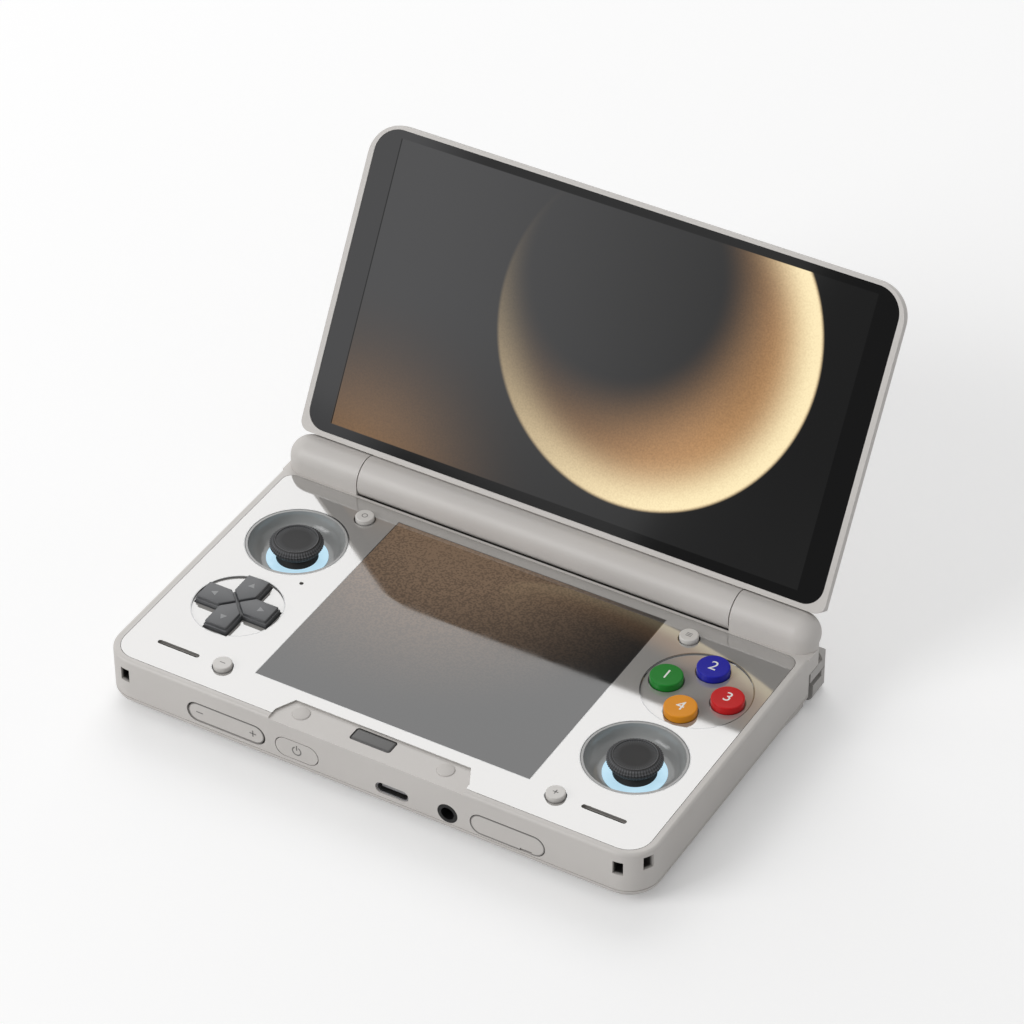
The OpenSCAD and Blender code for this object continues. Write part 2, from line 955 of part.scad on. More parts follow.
module light_rings() {
    color("LightBlue")
        at_sticks()
            translate([0, 0, ring_z])
                difference() {
                    cylinder(h = ring_t, r = ring_out);
                    translate([0, 0, -1])
                        cylinder(h = 3, r = ring_in);
                }
}

module stick_bases() {
    color("Silver")
        at_sticks()
            difference() {
                translate([-7.2, -7.2, board_top])
                    cube([14.4, 14.4, pivot_z + 2.5 - board_top]);
                translate([0, 0, board_top + 0.3])
                    cylinder(h = 10, r = 5.9);
                translate([0, 0, pivot_z])
                    rod_x(-6.9, 6.9, yoke_pin_r + run_gap);
            }
}

// Gimbal ring: turns on X in the base and carries the shaft on Y
module stick_yoke(at) {
    color("White")
        translate([at[0], at[1], pivot_z])
            difference() {
                union() {
                    translate([0, 0, -0.7])
                        cylinder(h = 1.4, r = 5);
                    rod_x(-6.7, 6.7, yoke_pin_r);
                }
                translate([0, 0, -2])
                    cylinder(h = 4, r = 3.6);
                rod_y(-4.7, 4.7, shaft_pin_r + run_gap);
            }
}

module stick_shaft(at) {
    color("White")
        translate([at[0], at[1], pivot_z]) {
            translate([0, 0, -1])
                cylinder(h = 2, r = 2.2);
            cylinder(h = cap_top_z - 2.3 - pivot_z, r = stick_shaft_r);
            rod_y(-4.6, 4.6, shaft_pin_r);
        }
}

// Cap: dished top, ribbed rim and the dome that hides the opening
module stick_cap(at) {
    rim_z = cap_top_z - 1;
    dish_r = 20;
    rib_w = 0.36;
    color("DimGray")
        translate([at[0], at[1], 0])
            difference() {
                union() {
                    rotate_extrude()
                        cap_section(rim_z);
                    for (i = [0 : 35])
                        rotate(i * 10)
                            translate([stick_r - 0.35, -rib_w / 2, rim_z - 0.5])
                                cube([0.5, rib_w, 0.9]);
                }
                translate([0, 0, cap_top_z + dish_r - 0.45])
                    sphere(r = dish_r);
                translate([0, 0, pivot_z])
                    cylinder(h = cap_top_z - 1.6 - pivot_z, r = stick_shaft_r + run_gap);
            }
}

module cap_section(rim_z) {
    polygon([[0, cap_low_z], [5.2, cap_low_z], [5.8, cap_low_z + 0.4], [stick_r - 0.3, rim_z - 1.3],
        [stick_r - 0.2, rim_z - 0.8], [stick_r - 0.2, rim_z + 0.2], [stick_r - 0.5, cap_top_z - 0.3],
        [stick_r - 1, cap_top_z], [5.4, cap_top_z], [5.2, cap_top_z - 0.25], [0, cap_top_z - 0.25]]);
    intersection() {
        translate([0, pivot_z])
            difference() {
                circle(dome_r);
                circle(dome_r - 0.8);
            }
        translate([0, pivot_z + 3])
            square([10, 10]);
    }
}

module left_stick_yoke() {
    stick_yoke(left_stick);
}

module right_stick_yoke() {
    stick_yoke(right_stick);
}

module left_stick_shaft() {
    stick_shaft(left_stick);
}

module right_stick_shaft() {
    stick_shaft(right_stick);
}

module left_stick_cap() {
    stick_cap(left_stick);
}

module right_stick_cap() {
    stick_cap(right_stick);
}

// Direction pad: four house-shaped arms that meet in a cross groove, on a small ball

pad_top = plate_z + 1.5;
button_board_top = board_drop;
ball_r = 1.5;
ball_z = button_board_top + ball_r;

module dpad_ball() {
    color("Silver")
        translate([dpad_at[0], dpad_at[1], ball_z])
            sphere(r = ball_r);
}

module dpad() {
    color("DimGray")
        translate([dpad_at[0], dpad_at[1], 0])
            difference() {
                union() {
                    translate([0, 0, boss_z - 0.9])
                        linear_extrude(pad_top - 0.4 - boss_z + 0.9)
                            dpad_cross(dpad_span, dpad_arm);
                    for (turn = [0 : 90 : 270])
                        rotate(turn)
                            dpad_arm_top();
                    translate([0, 0, boss_z - 1.6])
                        cylinder(h = 0.8, r = 9);
                }
                translate([0, 0, ball_z])
                    sphere(r = ball_r + run_gap);
                translate([0, 0, ball_z - 5])
                    cylinder(h = 5, r = ball_r + run_gap);
            }
}

// Raised top of one arm: pointed toward the middle, so a cross groove is left between the four
module dpad_arm_top() {
    half = dpad_arm / 2 - 0.25;
    translate([0, 0, pad_top - 0.4 - eps])
        linear_extrude(0.4 + eps)
            polygon([[0.9, 0], [half + 0.9, half], [dpad_span / 2 - 0.3, half],
                [dpad_span / 2 - 0.3, -half], [half + 0.9, -half]]);
}

// Face buttons and the four small buttons

button_round = 0.35;
flange_t = 0.8;

module face_button(i) {
    color("Silver")
        translate([button_spots[i][0], button_spots[i][1], 0]) {
            translate([0, 0, boss_z - eps])
                cylinder(h = pad_top - button_round - boss_z + eps, r = button_r);
            translate([0, 0, pad_top - button_round])
                rotate_extrude()
                    button_crown(button_r, button_round);
            translate([0, 0, boss_z - flange_t])
                cylinder(h = flange_t, r = button_r + 0.8);
            translate([0, 0, boss_z - flange_t - 0.4])
                cylinder(h = 0.4 + eps, r = 2);
        }
}

// Section of the rounded top edge of a button
module button_crown(r, round) {
    square([r - round, round]);
    translate([r - round, 0])
        quarter_disc(round);
}

module button_top() {
    face_button(0);
}

module button_right() {
    face_button(1);
}

module button_bottom() {
    face_button(2);
}

module button_left() {
    face_button(3);
}

small_top = plate_z + 1.2;
small_round = 0.3;
switch_t = 1.4;

module small_button(side, y) {
    stem_low = board_top + switch_t + 0.8;
    color("LightGray")
        translate([side * small_x, y, 0]) {
            translate([0, 0, deck_z])
                cylinder(h = small_top - small_round - deck_z, r = small_r);
            translate([0, 0, small_top - small_round])
                rotate_extrude()
                    button_crown(small_r, small_round);
            translate([0, 0, deck_z - flange_t])
                cylinder(h = flange_t, r = small_r + 0.8);
            translate([0, 0, stem_low])
                cylinder(h = deck_z - flange_t - stem_low, r = 1.1);
        }
}

module left_upper_button() {
    small_button(-1, small_upper_y);
}

module left_lower_button() {
    small_button(-1, small_lower_y);
}

module right_upper_button() {
    small_button(1, small_upper_y);
}

module right_lower_button() {
    small_button(1, small_lower_y);
}

module tact_switches() {
    color("Silver")
        for (side = [-1, 1])
            for (y = [small_upper_y, small_lower_y])
                translate([side * small_x - 2, y - 2, board_top])
                    cube([4, 4, switch_t]);
}

// Button boards on their posts, and the rubber mats with a dome under each contact

button_board_t = 0.8;

module button_board(at, side) {
    translate([at[0] - 13, at[1] - 13, button_board_top - button_board_t])
        cube([side, side, button_board_t]);
}

module button_boards() {
    color("DarkGreen") {
        button_board(dpad_at, 26);
        button_board(face_at, 27);
    }
}

// Round mat with four domes, each dome_h high and step away from the middle
module button_mat(at, step, dome_h) {
    translate([at[0], at[1], button_board_top])
        difference() {
            union() {
                cylinder(h = 0.3, r = 11);
                for (turn = [0 : 90 : 270])
                    rotate(turn)
                        translate([step, 0, 0])
                            cylinder(h = dome_h, r = 2.2);
            }
            translate([0, 0, -1])
                cylinder(h = 3, r = 2.4);
        }
}

module button_membranes() {
    color("LightGray") {
        button_mat(dpad_at, 6.4, 0.4);
        button_mat(face_at, button_step, 0.5);
    }
}

// Bumpers and triggers in the two rear corners

bumper_low = 7.8;
bumper_front_top = 10.7;
bumper_round = 5.85;
trigger_low = 0.4;
trigger_high = 7.4;
trigger_back_r = 2.5;
trigger_t = 1.3;
shoulder_r = 3.4;

module shoulder_plan(x0) {
    intersection() {
        translate([x0, mid_y])
            square([half_w - x0, rear_y - mid_y]);
        plan(half_w, mid_y, rear_y, 1, shoulder_r);
    }
}

// Front view of a shoulder piece, with its outer corner rounded at the top or at the bottom
module shoulder_front(x0, z0, z1, r, round_top) {
    bend_z = round_top ? z1 - r : z0 + r;
    square_z = round_top ? z0 : bend_z;
    translate([x0, z0])
        square([half_w - r - x0, z1 - z0]);
    translate([x0, square_z])
        square([half_w - x0, z1 - z0 - r]);
    translate([half_w - r, bend_z])
        circle(r);
}

module bumper() {
    difference() {
        intersection() {
            along_x(block_half + 0.5, half_w)
                difference() {
                    union() {
                        intersection() {
                            translate([rear_y - bumper_round, bumper_low + 0.2])
                                circle(bumper_round);
                            translate([rear_y - bumper_round, bumper_low])
                                square([6, 5.5]);
                        }
                        translate([side_end + 0.9, bumper_low])
                            square([rear_y - bumper_round - side_end - 0.9 + eps,
                                bumper_front_top - bumper_low]);
                    }
                    translate([side_end, bumper_front_top])
                        square([hinge_y + 2.3 - side_end, 5]);
                }
            linear_extrude(20)
                shoulder_plan(block_half + 0.5);
            along_y(side_end, rear_y)
                shoulder_front(block_half + 0.5, bumper_low, bumper_low + 5.8, shoulder_r, true);
        }
        translate([bumper_pin[0], bumper_pin[1], 5])
            cylinder(h = 10, r = 1 + run_gap);
    }
}

module right_bumper() {
    color("Silver")
        bumper();
}

module left_bumper() {
    color("Silver")
        mirror([1, 0, 0])
            bumper();
}

trigger_axis = [rear_y - 3.5, 5];
trigger_axle_r = 0.9;

// Trigger shell: C-shaped from the side, open to the front, with two hubs on the axle
module trigger_section() {
    difference() {
        rounded_back(rear_y, trigger_low, trigger_high, trigger_back_r);
        rounded_back(rear_y - trigger_t, trigger_low + trigger_t, trigger_high - 1.2,
            trigger_back_r - trigger_t);
        translate([rear_y - 10, trigger_low + trigger_t])
            square([5.6, 7]);
    }
}

// Section from the front of the trigger back to y1, with both rear corners rounded
module rounded_back(y1, z0, z1, r) {
    translate([rear_y - 8.8, z0])
        square([y1 - r - rear_y + 8.8, z1 - z0]);
    translate([y1 - r, z0 + r])
        square([r, z1 - z0 - 2 * r]);
    for (z = [z0 + r, z1 - r])
        translate([y1 - r, z])
            circle(r);
}

// Section of the wall that closes the outer end, low in front so that it clears the bumper
module trigger_end() {
    difference() {
        rounded_back(rear_y, trigger_low, trigger_high, trigger_back_r);
        translate([rear_y - 10, trigger_high - 1.6])
            square([5.6, 3]);
    }
}

module trigger() {
    intersection() {
        difference() {
            union() {
                along_x(block_half + 0.6, half_w)
                    trigger_section();
                along_x(half_w - 1.4, half_w)
                    trigger_end();
                for (x = [block_half + 7, half_w - 11])
                    translate([0, trigger_axis[0], trigger_axis[1]])
                        rod_x(x, x + 4, 2);
            }
            translate([0, trigger_axis[0], trigger_axis[1]])
                rod_x(block_half, half_w - 1.7, trigger_axle_r + run_gap);
        }
        linear_extrude(20)
            shoulder_plan(block_half + 0.6);
        along_y(side_end, rear_y)
            shoulder_front(block_half + 0.6, trigger_low, trigger_high, 2.4, false);
    }
}

module right_trigger() {
    color("Silver")
        trigger();
}

module left_trigger() {
    color("Silver")
        mirror([1, 0, 0])
            trigger();
}

module trigger_brackets() {
    color("DimGray")
        both_sides() {
            block([block_half + 2, half_w - 1.5], [side_end, side_end + 1], [1.4, 7]);
            for (x = [block_half + 3, half_w - 3.6])
                block([x, x + 1.6], [side_end + 1 - eps, trigger_axis[0] + 1.1], [4.1, 5.9]);
            translate([0, trigger_axis[0], trigger_axis[1]])
                rod_x(block_half + 3, half_w - 2, trigger_axle_r);
        }
}

// Hinge pins: pressed into the knuckles, running in the lid's barrel

module hinge_pin(side) {
    color("Gray")
        translate([0, hinge_y, hinge_z])
            rod_x(side * (knuckle_x + 0.5) - 9.4, side * (knuckle_x + 0.5) + 9.4, pin_r);
}

module left_hinge_pin() {
    hinge_pin(-1);
}

module right_hinge_pin() {
    hinge_pin(1);
}

// Lid: back cover with its barrel, glass, panel, stiffening frame and magnets

module in_lid() {
    translate([0, hinge_y, hinge_z])
        rotate([lid_lean, 0, 0])
            children();
}

// Edge section of the lid, drawn out from the middle of a top corner
module lid_section() {
    translate([0, back_n + lid_round])
        square([lid_top_r, rim_n - back_n - lid_round]);
    translate([0, back_n])
        square([lid_top_r - lid_round, lid_round]);
    translate([lid_top_r - lid_round, back_n + lid_round])
        mirror([0, 1])
            quarter_disc(lid_round);
}

module lid_outer() {
    intersection() {
        mirror([0, 1, 0])
            edged_body(lid_half_w, -lid_far, -lid_near, lid_top_r, back_n, rim_n)
                lid_section();
        translate([0, 0, back_n - 1])
            linear_extrude(rim_n - back_n + 2)
                plan(lid_half_w, lid_near, lid_far, lid_low_r, lid_top_r);
        along_x(-lid_half_w, lid_half_w) {
            translate([lid_near, back_n + lid_low_r])
                square([lid_far, rim_n - back_n]);
            translate([lid_near + lid_low_r, back_n])
                square([lid_far, lid_low_r]);
            translate([lid_near + lid_low_r, back_n + lid_low_r])
                circle(lid_low_r);
        }
    }
}

module glass_outline(grow) {
    plan(glass_half + grow, glass_near - grow, glass_far + grow, 5, 7);
}

module lid_back_cover() {
    color("Gainsboro")
        in_lid()
            difference() {
                union() {
                    difference() {
                        lid_outer();
                        translate([0, 0, lid_floor])
                            linear_extrude(10)
                                plan(glass_half - 1.8, glass_near + 1.8, glass_far - 1.8, 4, 5);
                        translate([0, 0, glass_back])
                            linear_extrude(5)
                                glass_outline(set_gap);
                    }
                    rod_x(-barrel_half, barrel_half, knuckle_r);
                    block([-barrel_half, barrel_half], [0, lid_near + lid_low_r],
                        [-knuckle_r, -0.2]);
                    lid_ribs();
                }
                rod_x(-barrel_half - 1, barrel_half + 1, pin_r + run_gap);
            }
}

glass_back = glass_n - lid_glass_t;
panel_back = glass_back - panel_t;
stiffener_back = panel_back - 0.8;
rib_spots = [-48, -24, 24, 48];

module lid_ribs() {
    for (x = rib_spots)
        block([x - 0.5, x + 0.5], [glass_near + 1.8 - eps, glass_far - 1.8 + eps],
            [lid_floor - eps, stiffener_back]);
}

module upper_glass() {
    color("DimGray")
        in_lid()
            translate([0, 0, glass_back])
                linear_extrude(lid_glass_t)
                    glass_outline(0);
}

module upper_display() {
    color("SlateGray")
        in_lid()
            block([-glass_half + 4.7, glass_half - 4.7], [glass_near + 2.6, glass_far - 3.1],
                [panel_back, glass_back]);
}

module lid_stiffener() {
    color("Silver")
        in_lid()
            difference() {
                block([-glass_half + 4, glass_half - 4], [glass_near + 2.6, glass_far - 3.1],
                    [stiffener_back, panel_back]);
                for (x = rib_spots)
                    translate([x + 12, 0, 0])
                        block([-8, 8], [glass_near + 16, glass_far - 18], [-10, 10]);
            }
}

module lid_magnets() {
    color("Gray")
        in_lid()
            both_sides()
                block([30, 42], [glass_far - 5.8, glass_far - 2.4],
                    [lid_floor, stiffener_back]);
}

base_frame();
bottom_cover();
face_plate();
lower_glass();
lower_display();
main_board();
battery();
processor();
heat_sink();
fan_housing();
fan_rotor();
usb_port();
headphone_jack();
card_reader();
card_cover();
volume_rocker();
power_button();
key_board();
speakers();
speaker_mesh();
badge();
notch_pads();
rubber_feet();
cover_screws();
stick_wells();
light_rings();
stick_bases();
left_stick_yoke();
right_stick_yoke();
left_stick_shaft();
right_stick_shaft();
left_stick_cap();
right_stick_cap();
dpad_ball();
dpad();
button_top();
button_right();
button_bottom();
button_left();
left_upper_button();
left_lower_button();
right_upper_button();
right_lower_button();
tact_switches();
button_boards();
button_membranes();
left_bumper();
right_bumper();
left_trigger();
right_trigger();
trigger_brackets();
left_hinge_pin();
right_hinge_pin();
lid_back_cover();
upper_glass();
upper_display();
lid_stiffener();
lid_magnets();
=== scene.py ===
import math

import bpy
from mathutils import Matrix, Vector


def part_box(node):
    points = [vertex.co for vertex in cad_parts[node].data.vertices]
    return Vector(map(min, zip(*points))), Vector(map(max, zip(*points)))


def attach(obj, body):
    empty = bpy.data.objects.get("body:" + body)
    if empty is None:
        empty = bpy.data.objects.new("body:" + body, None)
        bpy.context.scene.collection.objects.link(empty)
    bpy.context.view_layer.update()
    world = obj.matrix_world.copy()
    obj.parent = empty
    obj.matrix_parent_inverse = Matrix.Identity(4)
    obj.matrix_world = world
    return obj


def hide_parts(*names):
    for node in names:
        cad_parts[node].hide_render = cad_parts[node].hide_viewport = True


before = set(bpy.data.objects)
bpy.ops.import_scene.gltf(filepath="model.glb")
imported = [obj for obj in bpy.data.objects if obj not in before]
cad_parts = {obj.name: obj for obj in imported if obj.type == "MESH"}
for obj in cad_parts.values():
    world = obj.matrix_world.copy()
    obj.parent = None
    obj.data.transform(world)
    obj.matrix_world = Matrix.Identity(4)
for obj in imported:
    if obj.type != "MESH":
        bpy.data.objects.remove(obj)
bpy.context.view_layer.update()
mm = 0.001


# Base frame: the upper half of the base, moulded in light warm grey plastic with a fine
# spark-eroded grain. The deck, the two hinge knuckles and the front wall are one moulding,
# screwed to the bottom cover from below.


def srgb(red, green, blue):
    """A colour given as 0 to 255 steps, turned into the linear values that a shader takes."""
    linear = []
    for step in (red, green, blue):
        share = step / 255
        linear.append(share / 12.92 if share <= 0.04045 else ((share + 0.055) / 1.055) ** 2.4)
    return (*linear, 1.0)


class Field:
    """A number that changes over a surface: a node's output that takes part in Python sums."""

    def __init__(self, nodes, socket):
        self.nodes = nodes
        self.socket = socket

    def math(self, operation, first, second=0.0):
        return self.nodes.add("ShaderNodeMath", {"operation": operation}, {0: first, 1: second})

    def __add__(self, other):
        return self.math("ADD", self, other)

    def __radd__(self, other):
        return self.math("ADD", other, self)

    def __sub__(self, other):
        return self.math("SUBTRACT", self, other)

    def __rsub__(self, other):
        return self.math("SUBTRACT", other, self)

    def __mul__(self, other):
        return self.math("MULTIPLY", self, other)

    def __rmul__(self, other):
        return self.math("MULTIPLY", other, self)

    def __pow__(self, other):
        return self.math("POWER", self, other)

    def size(self):
        """The number without its sign."""
        return self.math("ABSOLUTE", self)

    def larger(self, other):
        """The larger of this number and another."""
        return self.math("MAXIMUM", self, other)

    def sine(self):
        """The sine of this number of radians."""
        return self.math("SINE", self)

    def rise(self, start, end):
        """Goes smoothly from 0 to 1 while this number goes from start to end."""
        return self.nodes.add(
            "ShaderNodeMapRange",
            {"interpolation_type": "SMOOTHSTEP"},
            {"Value": self, "From Min": start, "From Max": end},
        )


class Nodes:
    """The node tree of a material or of the world, with one way to add a node to it."""

    def __init__(self, tree):
        self.tree = tree

    def add(self, kind, settings=None, inputs=None, output=0):
        node = self.tree.nodes.new(kind)
        for name, value in (settings or {}).items():
            setattr(node, name, value)
        for name, value in (inputs or {}).items():
            if isinstance(value, Field):
                self.tree.links.new(value.socket, node.inputs[name])
            else:
                node.inputs[name].default_value = value
        return Field(self, node.outputs[output])

    def place(self):
        """Where on the piece a point is, in metres, in the piece's own frame."""
        return self.add("ShaderNodeTexCoord", output="Object")

    def axes(self):
        """The three coordinates of that place, each a field."""
        parts = self.add("ShaderNodeSeparateXYZ", inputs={0: self.place()}).socket.node
        return [Field(self, part) for part in parts.outputs]

    def noise(self, size, detail=2.0):
        """Soft random field from 0 to 1 whose spots are about size metres across."""
        return self.add(
            "ShaderNodeTexNoise",
            inputs={"Vector": self.place(), "Scale": 1 / size, "Detail": detail},
        )

    def mix(self, share, low, high):
        """A colour between low and high."""
        return self.add(
            "ShaderNodeMix", {"data_type": "RGBA"}, {0: share, 6: low, 7: high}, output=2
        )


class Finish(Nodes):
    """A surface finish: the shader's constant values, and fields for what varies."""

    def __init__(self, name, constants):
        self.material = bpy.data.materials.new(name)
        self.material.use_nodes = True
        super().__init__(self.material.node_tree)
        self.shader = self.tree.nodes["Principled BSDF"]
        for socket, value in constants.items():
            self.shader.inputs[socket].default_value = value

    def feed(self, socket, field):
        self.tree.links.new(field.socket, self.shader.inputs[socket])

    def relief(self, height, distance):
        """Raises the surface by a height field, distance metres at a height of 1."""
        bump = self.add("ShaderNodeBump", inputs={"Height": height, "Distance": distance})
        self.feed("Normal", bump)


cloud_size = 22 * mm


def moulded(name, low, high, roughness, grain=0.45 * mm, relief=0.012 * mm):
    """Plain moulded plastic: two close tones in soft clouds, and a fine even grain."""
    finish = Finish(name, {})
    clouds = finish.noise(cloud_size, detail=3.0)
    finish.feed("Base Color", finish.mix(clouds.rise(0.3, 0.7), low, high))
    speckle = finish.noise(grain, detail=1.0)
    finish.feed("Roughness", roughness - 0.04 + 0.08 * speckle)
    finish.relief(speckle, relief)
    return finish


def only(piece):
    """Selects one piece and nothing else, ready for an operator."""
    bpy.ops.object.select_all(action="DESELECT")
    piece.select_set(True)
    bpy.context.view_layer.objects.active = piece


def fix(piece, name, body, finish):
    """Names a finished piece, gives it its finish and makes it move with its body."""
    only(piece)
    bpy.ops.object.transform_apply(location=True, rotation=True, scale=True)
    piece.name = name
    piece.data.name = name
    piece.data.materials.clear()
    piece.data.materials.append(finish.material)
    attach(piece, body)
    return piece


def skin(node, body, finish, crease=30):
    """The visible surface of a CAD piece: its mesh welded and smoothed."""
    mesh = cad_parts[node].data.copy()
    piece = bpy.data.objects.new(node + "_surface", mesh)
    bpy.context.scene.collection.objects.link(piece)
    only(piece)
    bpy.ops.object.mode_set(mode="EDIT")
    bpy.ops.mesh.select_all(action="SELECT")
    bpy.ops.mesh.customdata_custom_splitnormals_clear()
    bpy.ops.mesh.remove_doubles(threshold=0.002 * mm)
    bpy.ops.object.mode_set(mode="OBJECT")
    bpy.ops.object.shade_smooth_by_angle(angle=math.radians(crease))
    weighting = piece.modifiers.new("weighting", "WEIGHTED_NORMAL")
    weighting.keep_sharp = True
    bpy.ops.object.modifier_apply(modifier=weighting.name)
    fix(piece, piece.name, body, finish)
    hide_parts(node)
    return piece


grey_low = srgb(204, 200, 196)
grey_high = srgb(208, 204, 200)
grey_roughness = 0.42
housing = moulded("housing_grey", grey_low, grey_high, grey_roughness)
frame_grey = moulded("frame_grey", grey_low, grey_high, grey_roughness)
frame_x, frame_y, level = frame_grey.axes()

# The cord channels round the two front corners are darker, as they lie in shade.
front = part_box("base_frame")[0].y
corner_x = 66.85 * mm
corner_y = front + 8.15 * mm
channel_outer_r = 7.95 * mm
channel_inner_r = 7.0 * mm
channel_low = 9.2 * mm
channel_high = 14.9 * mm
outward = frame_x.size() - corner_x
forward = corner_y - frame_y
from_corner = (outward * outward + forward * forward) ** 0.5
in_channel = (
    from_corner.rise(channel_outer_r, channel_inner_r)
    * outward.rise(-3 * mm, -2 * mm)
    * forward.rise(-1 * mm, 0)
    * level.rise(channel_low, channel_low + 0.3 * mm)
    * level.rise(channel_high, channel_high - 0.3 * mm)
)

# The slit under the hinge barrel is shaded too, and the back wall behind it is plain.
barrel_half = 52.9 * mm
barrel_front = front + 82.9 * mm
barrel_back = barrel_front + 4.0 * mm
slit_top = 16.4 * mm
under_barrel = (
    frame_x.size().rise(barrel_half, barrel_half - 0.2 * mm)
    * frame_y.rise(barrel_front, barrel_front + 0.6 * mm)
    * frame_y.rise(barrel_back, barrel_back - 1.0 * mm)
    * level.rise(slit_top, slit_top - 0.3 * mm)
)
slit_tone = srgb(70, 69, 67)
channel_tone = srgb(46, 45, 44)
frame_clouds = frame_grey.noise(cloud_size, detail=3.0).rise(0.3, 0.7)
plain_tone = frame_grey.mix(frame_clouds, grey_low, grey_high)
shaded_tone = frame_grey.mix(under_barrel, plain_tone, slit_tone)
frame_grey.feed("Base Color", frame_grey.mix(in_channel, shaded_tone, channel_tone))
skin("base_frame", "base", frame_grey)


# Bottom cover: a shallow tray in the same plastic, with a raised belly, air slots under the
# fan and seven screw wells.

skin("bottom_cover", "base", housing)


# Lid: the shell behind the upper screen, in the housing's plastic and grain. It is moulded in
# one piece with the hinge barrel, which turns between the two knuckles.

skin("lid_back_cover", "lid", housing)


# Bumpers and triggers: separate mouldings of the same plastic, a little darker in tone,
# polished a little where fingers rest.

shoulder = moulded("shoulder_grey", srgb(178, 175, 172), srgb(184, 181, 178), roughness=0.34)
for side in ("left", "right"):
    skin(f"{side}_bumper", f"{side}_bumper", shoulder)
    skin(f"{side}_trigger", f"{side}_trigger", shoulder)


# Face plate: a glossy off-white sheet that is glued on the deck, with shallow round rests
# for the direction pad and the face buttons. It mirrors the open lid.

gloss = Finish("plate_gloss", {"IOR": 3.0})
plate_x, plate_y, _ = gloss.axes()


def disc(field_across, field_up, centre_across, centre_up, radius):
    """How far a point is outside a circle, in metres, negative inside."""
    gap_across = field_across - centre_across
    gap_up = field_up - centre_up
    return (gap_across * gap_across + gap_up * gap_up) ** 0.5 - radius


def mid(*nodes):
    """The middle of the box round some CAD nodes."""
    corners = [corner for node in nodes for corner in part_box(node)]
    lowest = Vector([min(corner[axis] for corner in corners) for axis in range(3)])
    highest = Vector([max(corner[axis] for corner in corners) for axis in range(3)])
    return (lowest + highest) / 2


small_keys = ["left_upper_button", "left_lower_button", "right_upper_button", "right_lower_button"]
face_keys = ["button_left", "button_top", "button_right", "button_bottom"]
pad_rest_r = 11.45 * mm
face_rest_r = 13.65 * mm
well_r = 13.0 * mm
small_key_r = 2.6 * mm
face_key_r = 4.25 * mm

# Each row is the middle of a round edge, its radius and half the width of the line of painted
# shade along it.
round_edges = [(mid("dpad"), pad_rest_r, 0.14 * mm), (mid(*face_keys), face_rest_r, 0.14 * mm)]
round_edges += [(mid(f"{side}_stick_cap"), well_r, 0.12 * mm) for side in ("left", "right")]
round_edges += [(mid(node), small_key_r, 0.18 * mm) for node in small_keys]
round_edges += [(mid(node), face_key_r, 0.16 * mm) for node in face_keys]
# Thin near-black lines of painted shade run along the gaps round the keys and the stick wells, the
# grooves of the two rests and the edge of the screen window.
gap_shade = 0.0
for centre, radius, half in round_edges:
    off_edge = disc(plate_x, plate_y, centre.x, centre.y, radius).size()
    gap_shade = off_edge.rise(half + 0.08 * mm, half) + gap_shade
screen_low, screen_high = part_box("lower_glass")
screen_mid = mid("lower_glass")
past_side = (plate_x - screen_mid.x).size() - (screen_high.x - screen_low.x) / 2
past_end = (plate_y - screen_mid.y).size() - (screen_high.y - screen_low.y) / 2
gap_shade = past_side.larger(past_end).rise(0.3 * mm, 0.2 * mm) + gap_shade
plate_tone = gloss.mix(gloss.noise(40 * mm), srgb(150, 147, 143), srgb(156, 153, 149))
gap_shade_tone = srgb(34, 33, 32)
gloss.feed("Base Color", gloss.mix(gap_shade, plate_tone, gap_shade_tone))
gloss.feed("Roughness", 0.035 + 0.03 * gloss.noise(9 * mm))
skin("face_plate", "base", gloss)


# Lower screen: a dark cover glass, bonded flush in the plate's window, over a dimmed display.
# A faint grainy golden haze in its far left part is a painted reflection of the upper screen's
# picture, painted as glow on the glass's top face.

dark_glass = Finish("lower_screen_glass", {"IOR": 1.68, "Emission Strength": 1.0})
smear = dark_glass.noise(18 * mm, detail=4.0)
dark_glass.feed("Base Color", dark_glass.mix(smear, srgb(11, 11, 12), srgb(15, 15, 15)))
dark_glass.feed("Roughness", 0.03 + 0.03 * smear.rise(0.4, 0.7))
glass_x, glass_y, glass_level = dark_glass.axes()
haze_x = -22 * mm
haze_y = screen_high.y + 4 * mm
from_haze = disc(glass_x, glass_y, haze_x, haze_y, 0.0)
reflection_grain = dark_glass.noise(0.5 * mm, detail=0.0).rise(0.3, 0.7)
# The haze is painted reflection: it glows on the top face only, brightest towards the lid.
painted_reflection = from_haze.rise(70 * mm, 4 * mm) * (0.72 + 0.5 * reflection_grain)
on_top = glass_level.rise(screen_high.z - 0.1 * mm, screen_high.z - 0.05 * mm)
reflection_tone = srgb(112, 91, 72)
dark_glass.feed("Emission Color", dark_glass.mix(painted_reflection * on_top, srgb(0, 0, 0), reflection_tone))
skin("lower_glass", "base", dark_glass)


# Upper screen: cover glass with an anti-glare coat over a lit panel. The panel shows a
# golden crescent with a fine grain on a charcoal ground, inside a dark printed border.

lid_turn = math.radians(60.15)
hinge = mid("left_hinge_pin")
lit_half = 66.4 * mm
lit_near = 9.6 * mm
lit_far = 84.3 * mm

picture = Finish(
    "upper_screen_glass", {"Roughness": 0.06, "Specular IOR Level": 0.06, "Emission Strength": 1.0}
)
across, depth, height = picture.axes()
up = (depth - hinge.y) * math.cos(lid_turn) + (height - hinge.z) * math.sin(lid_turn)

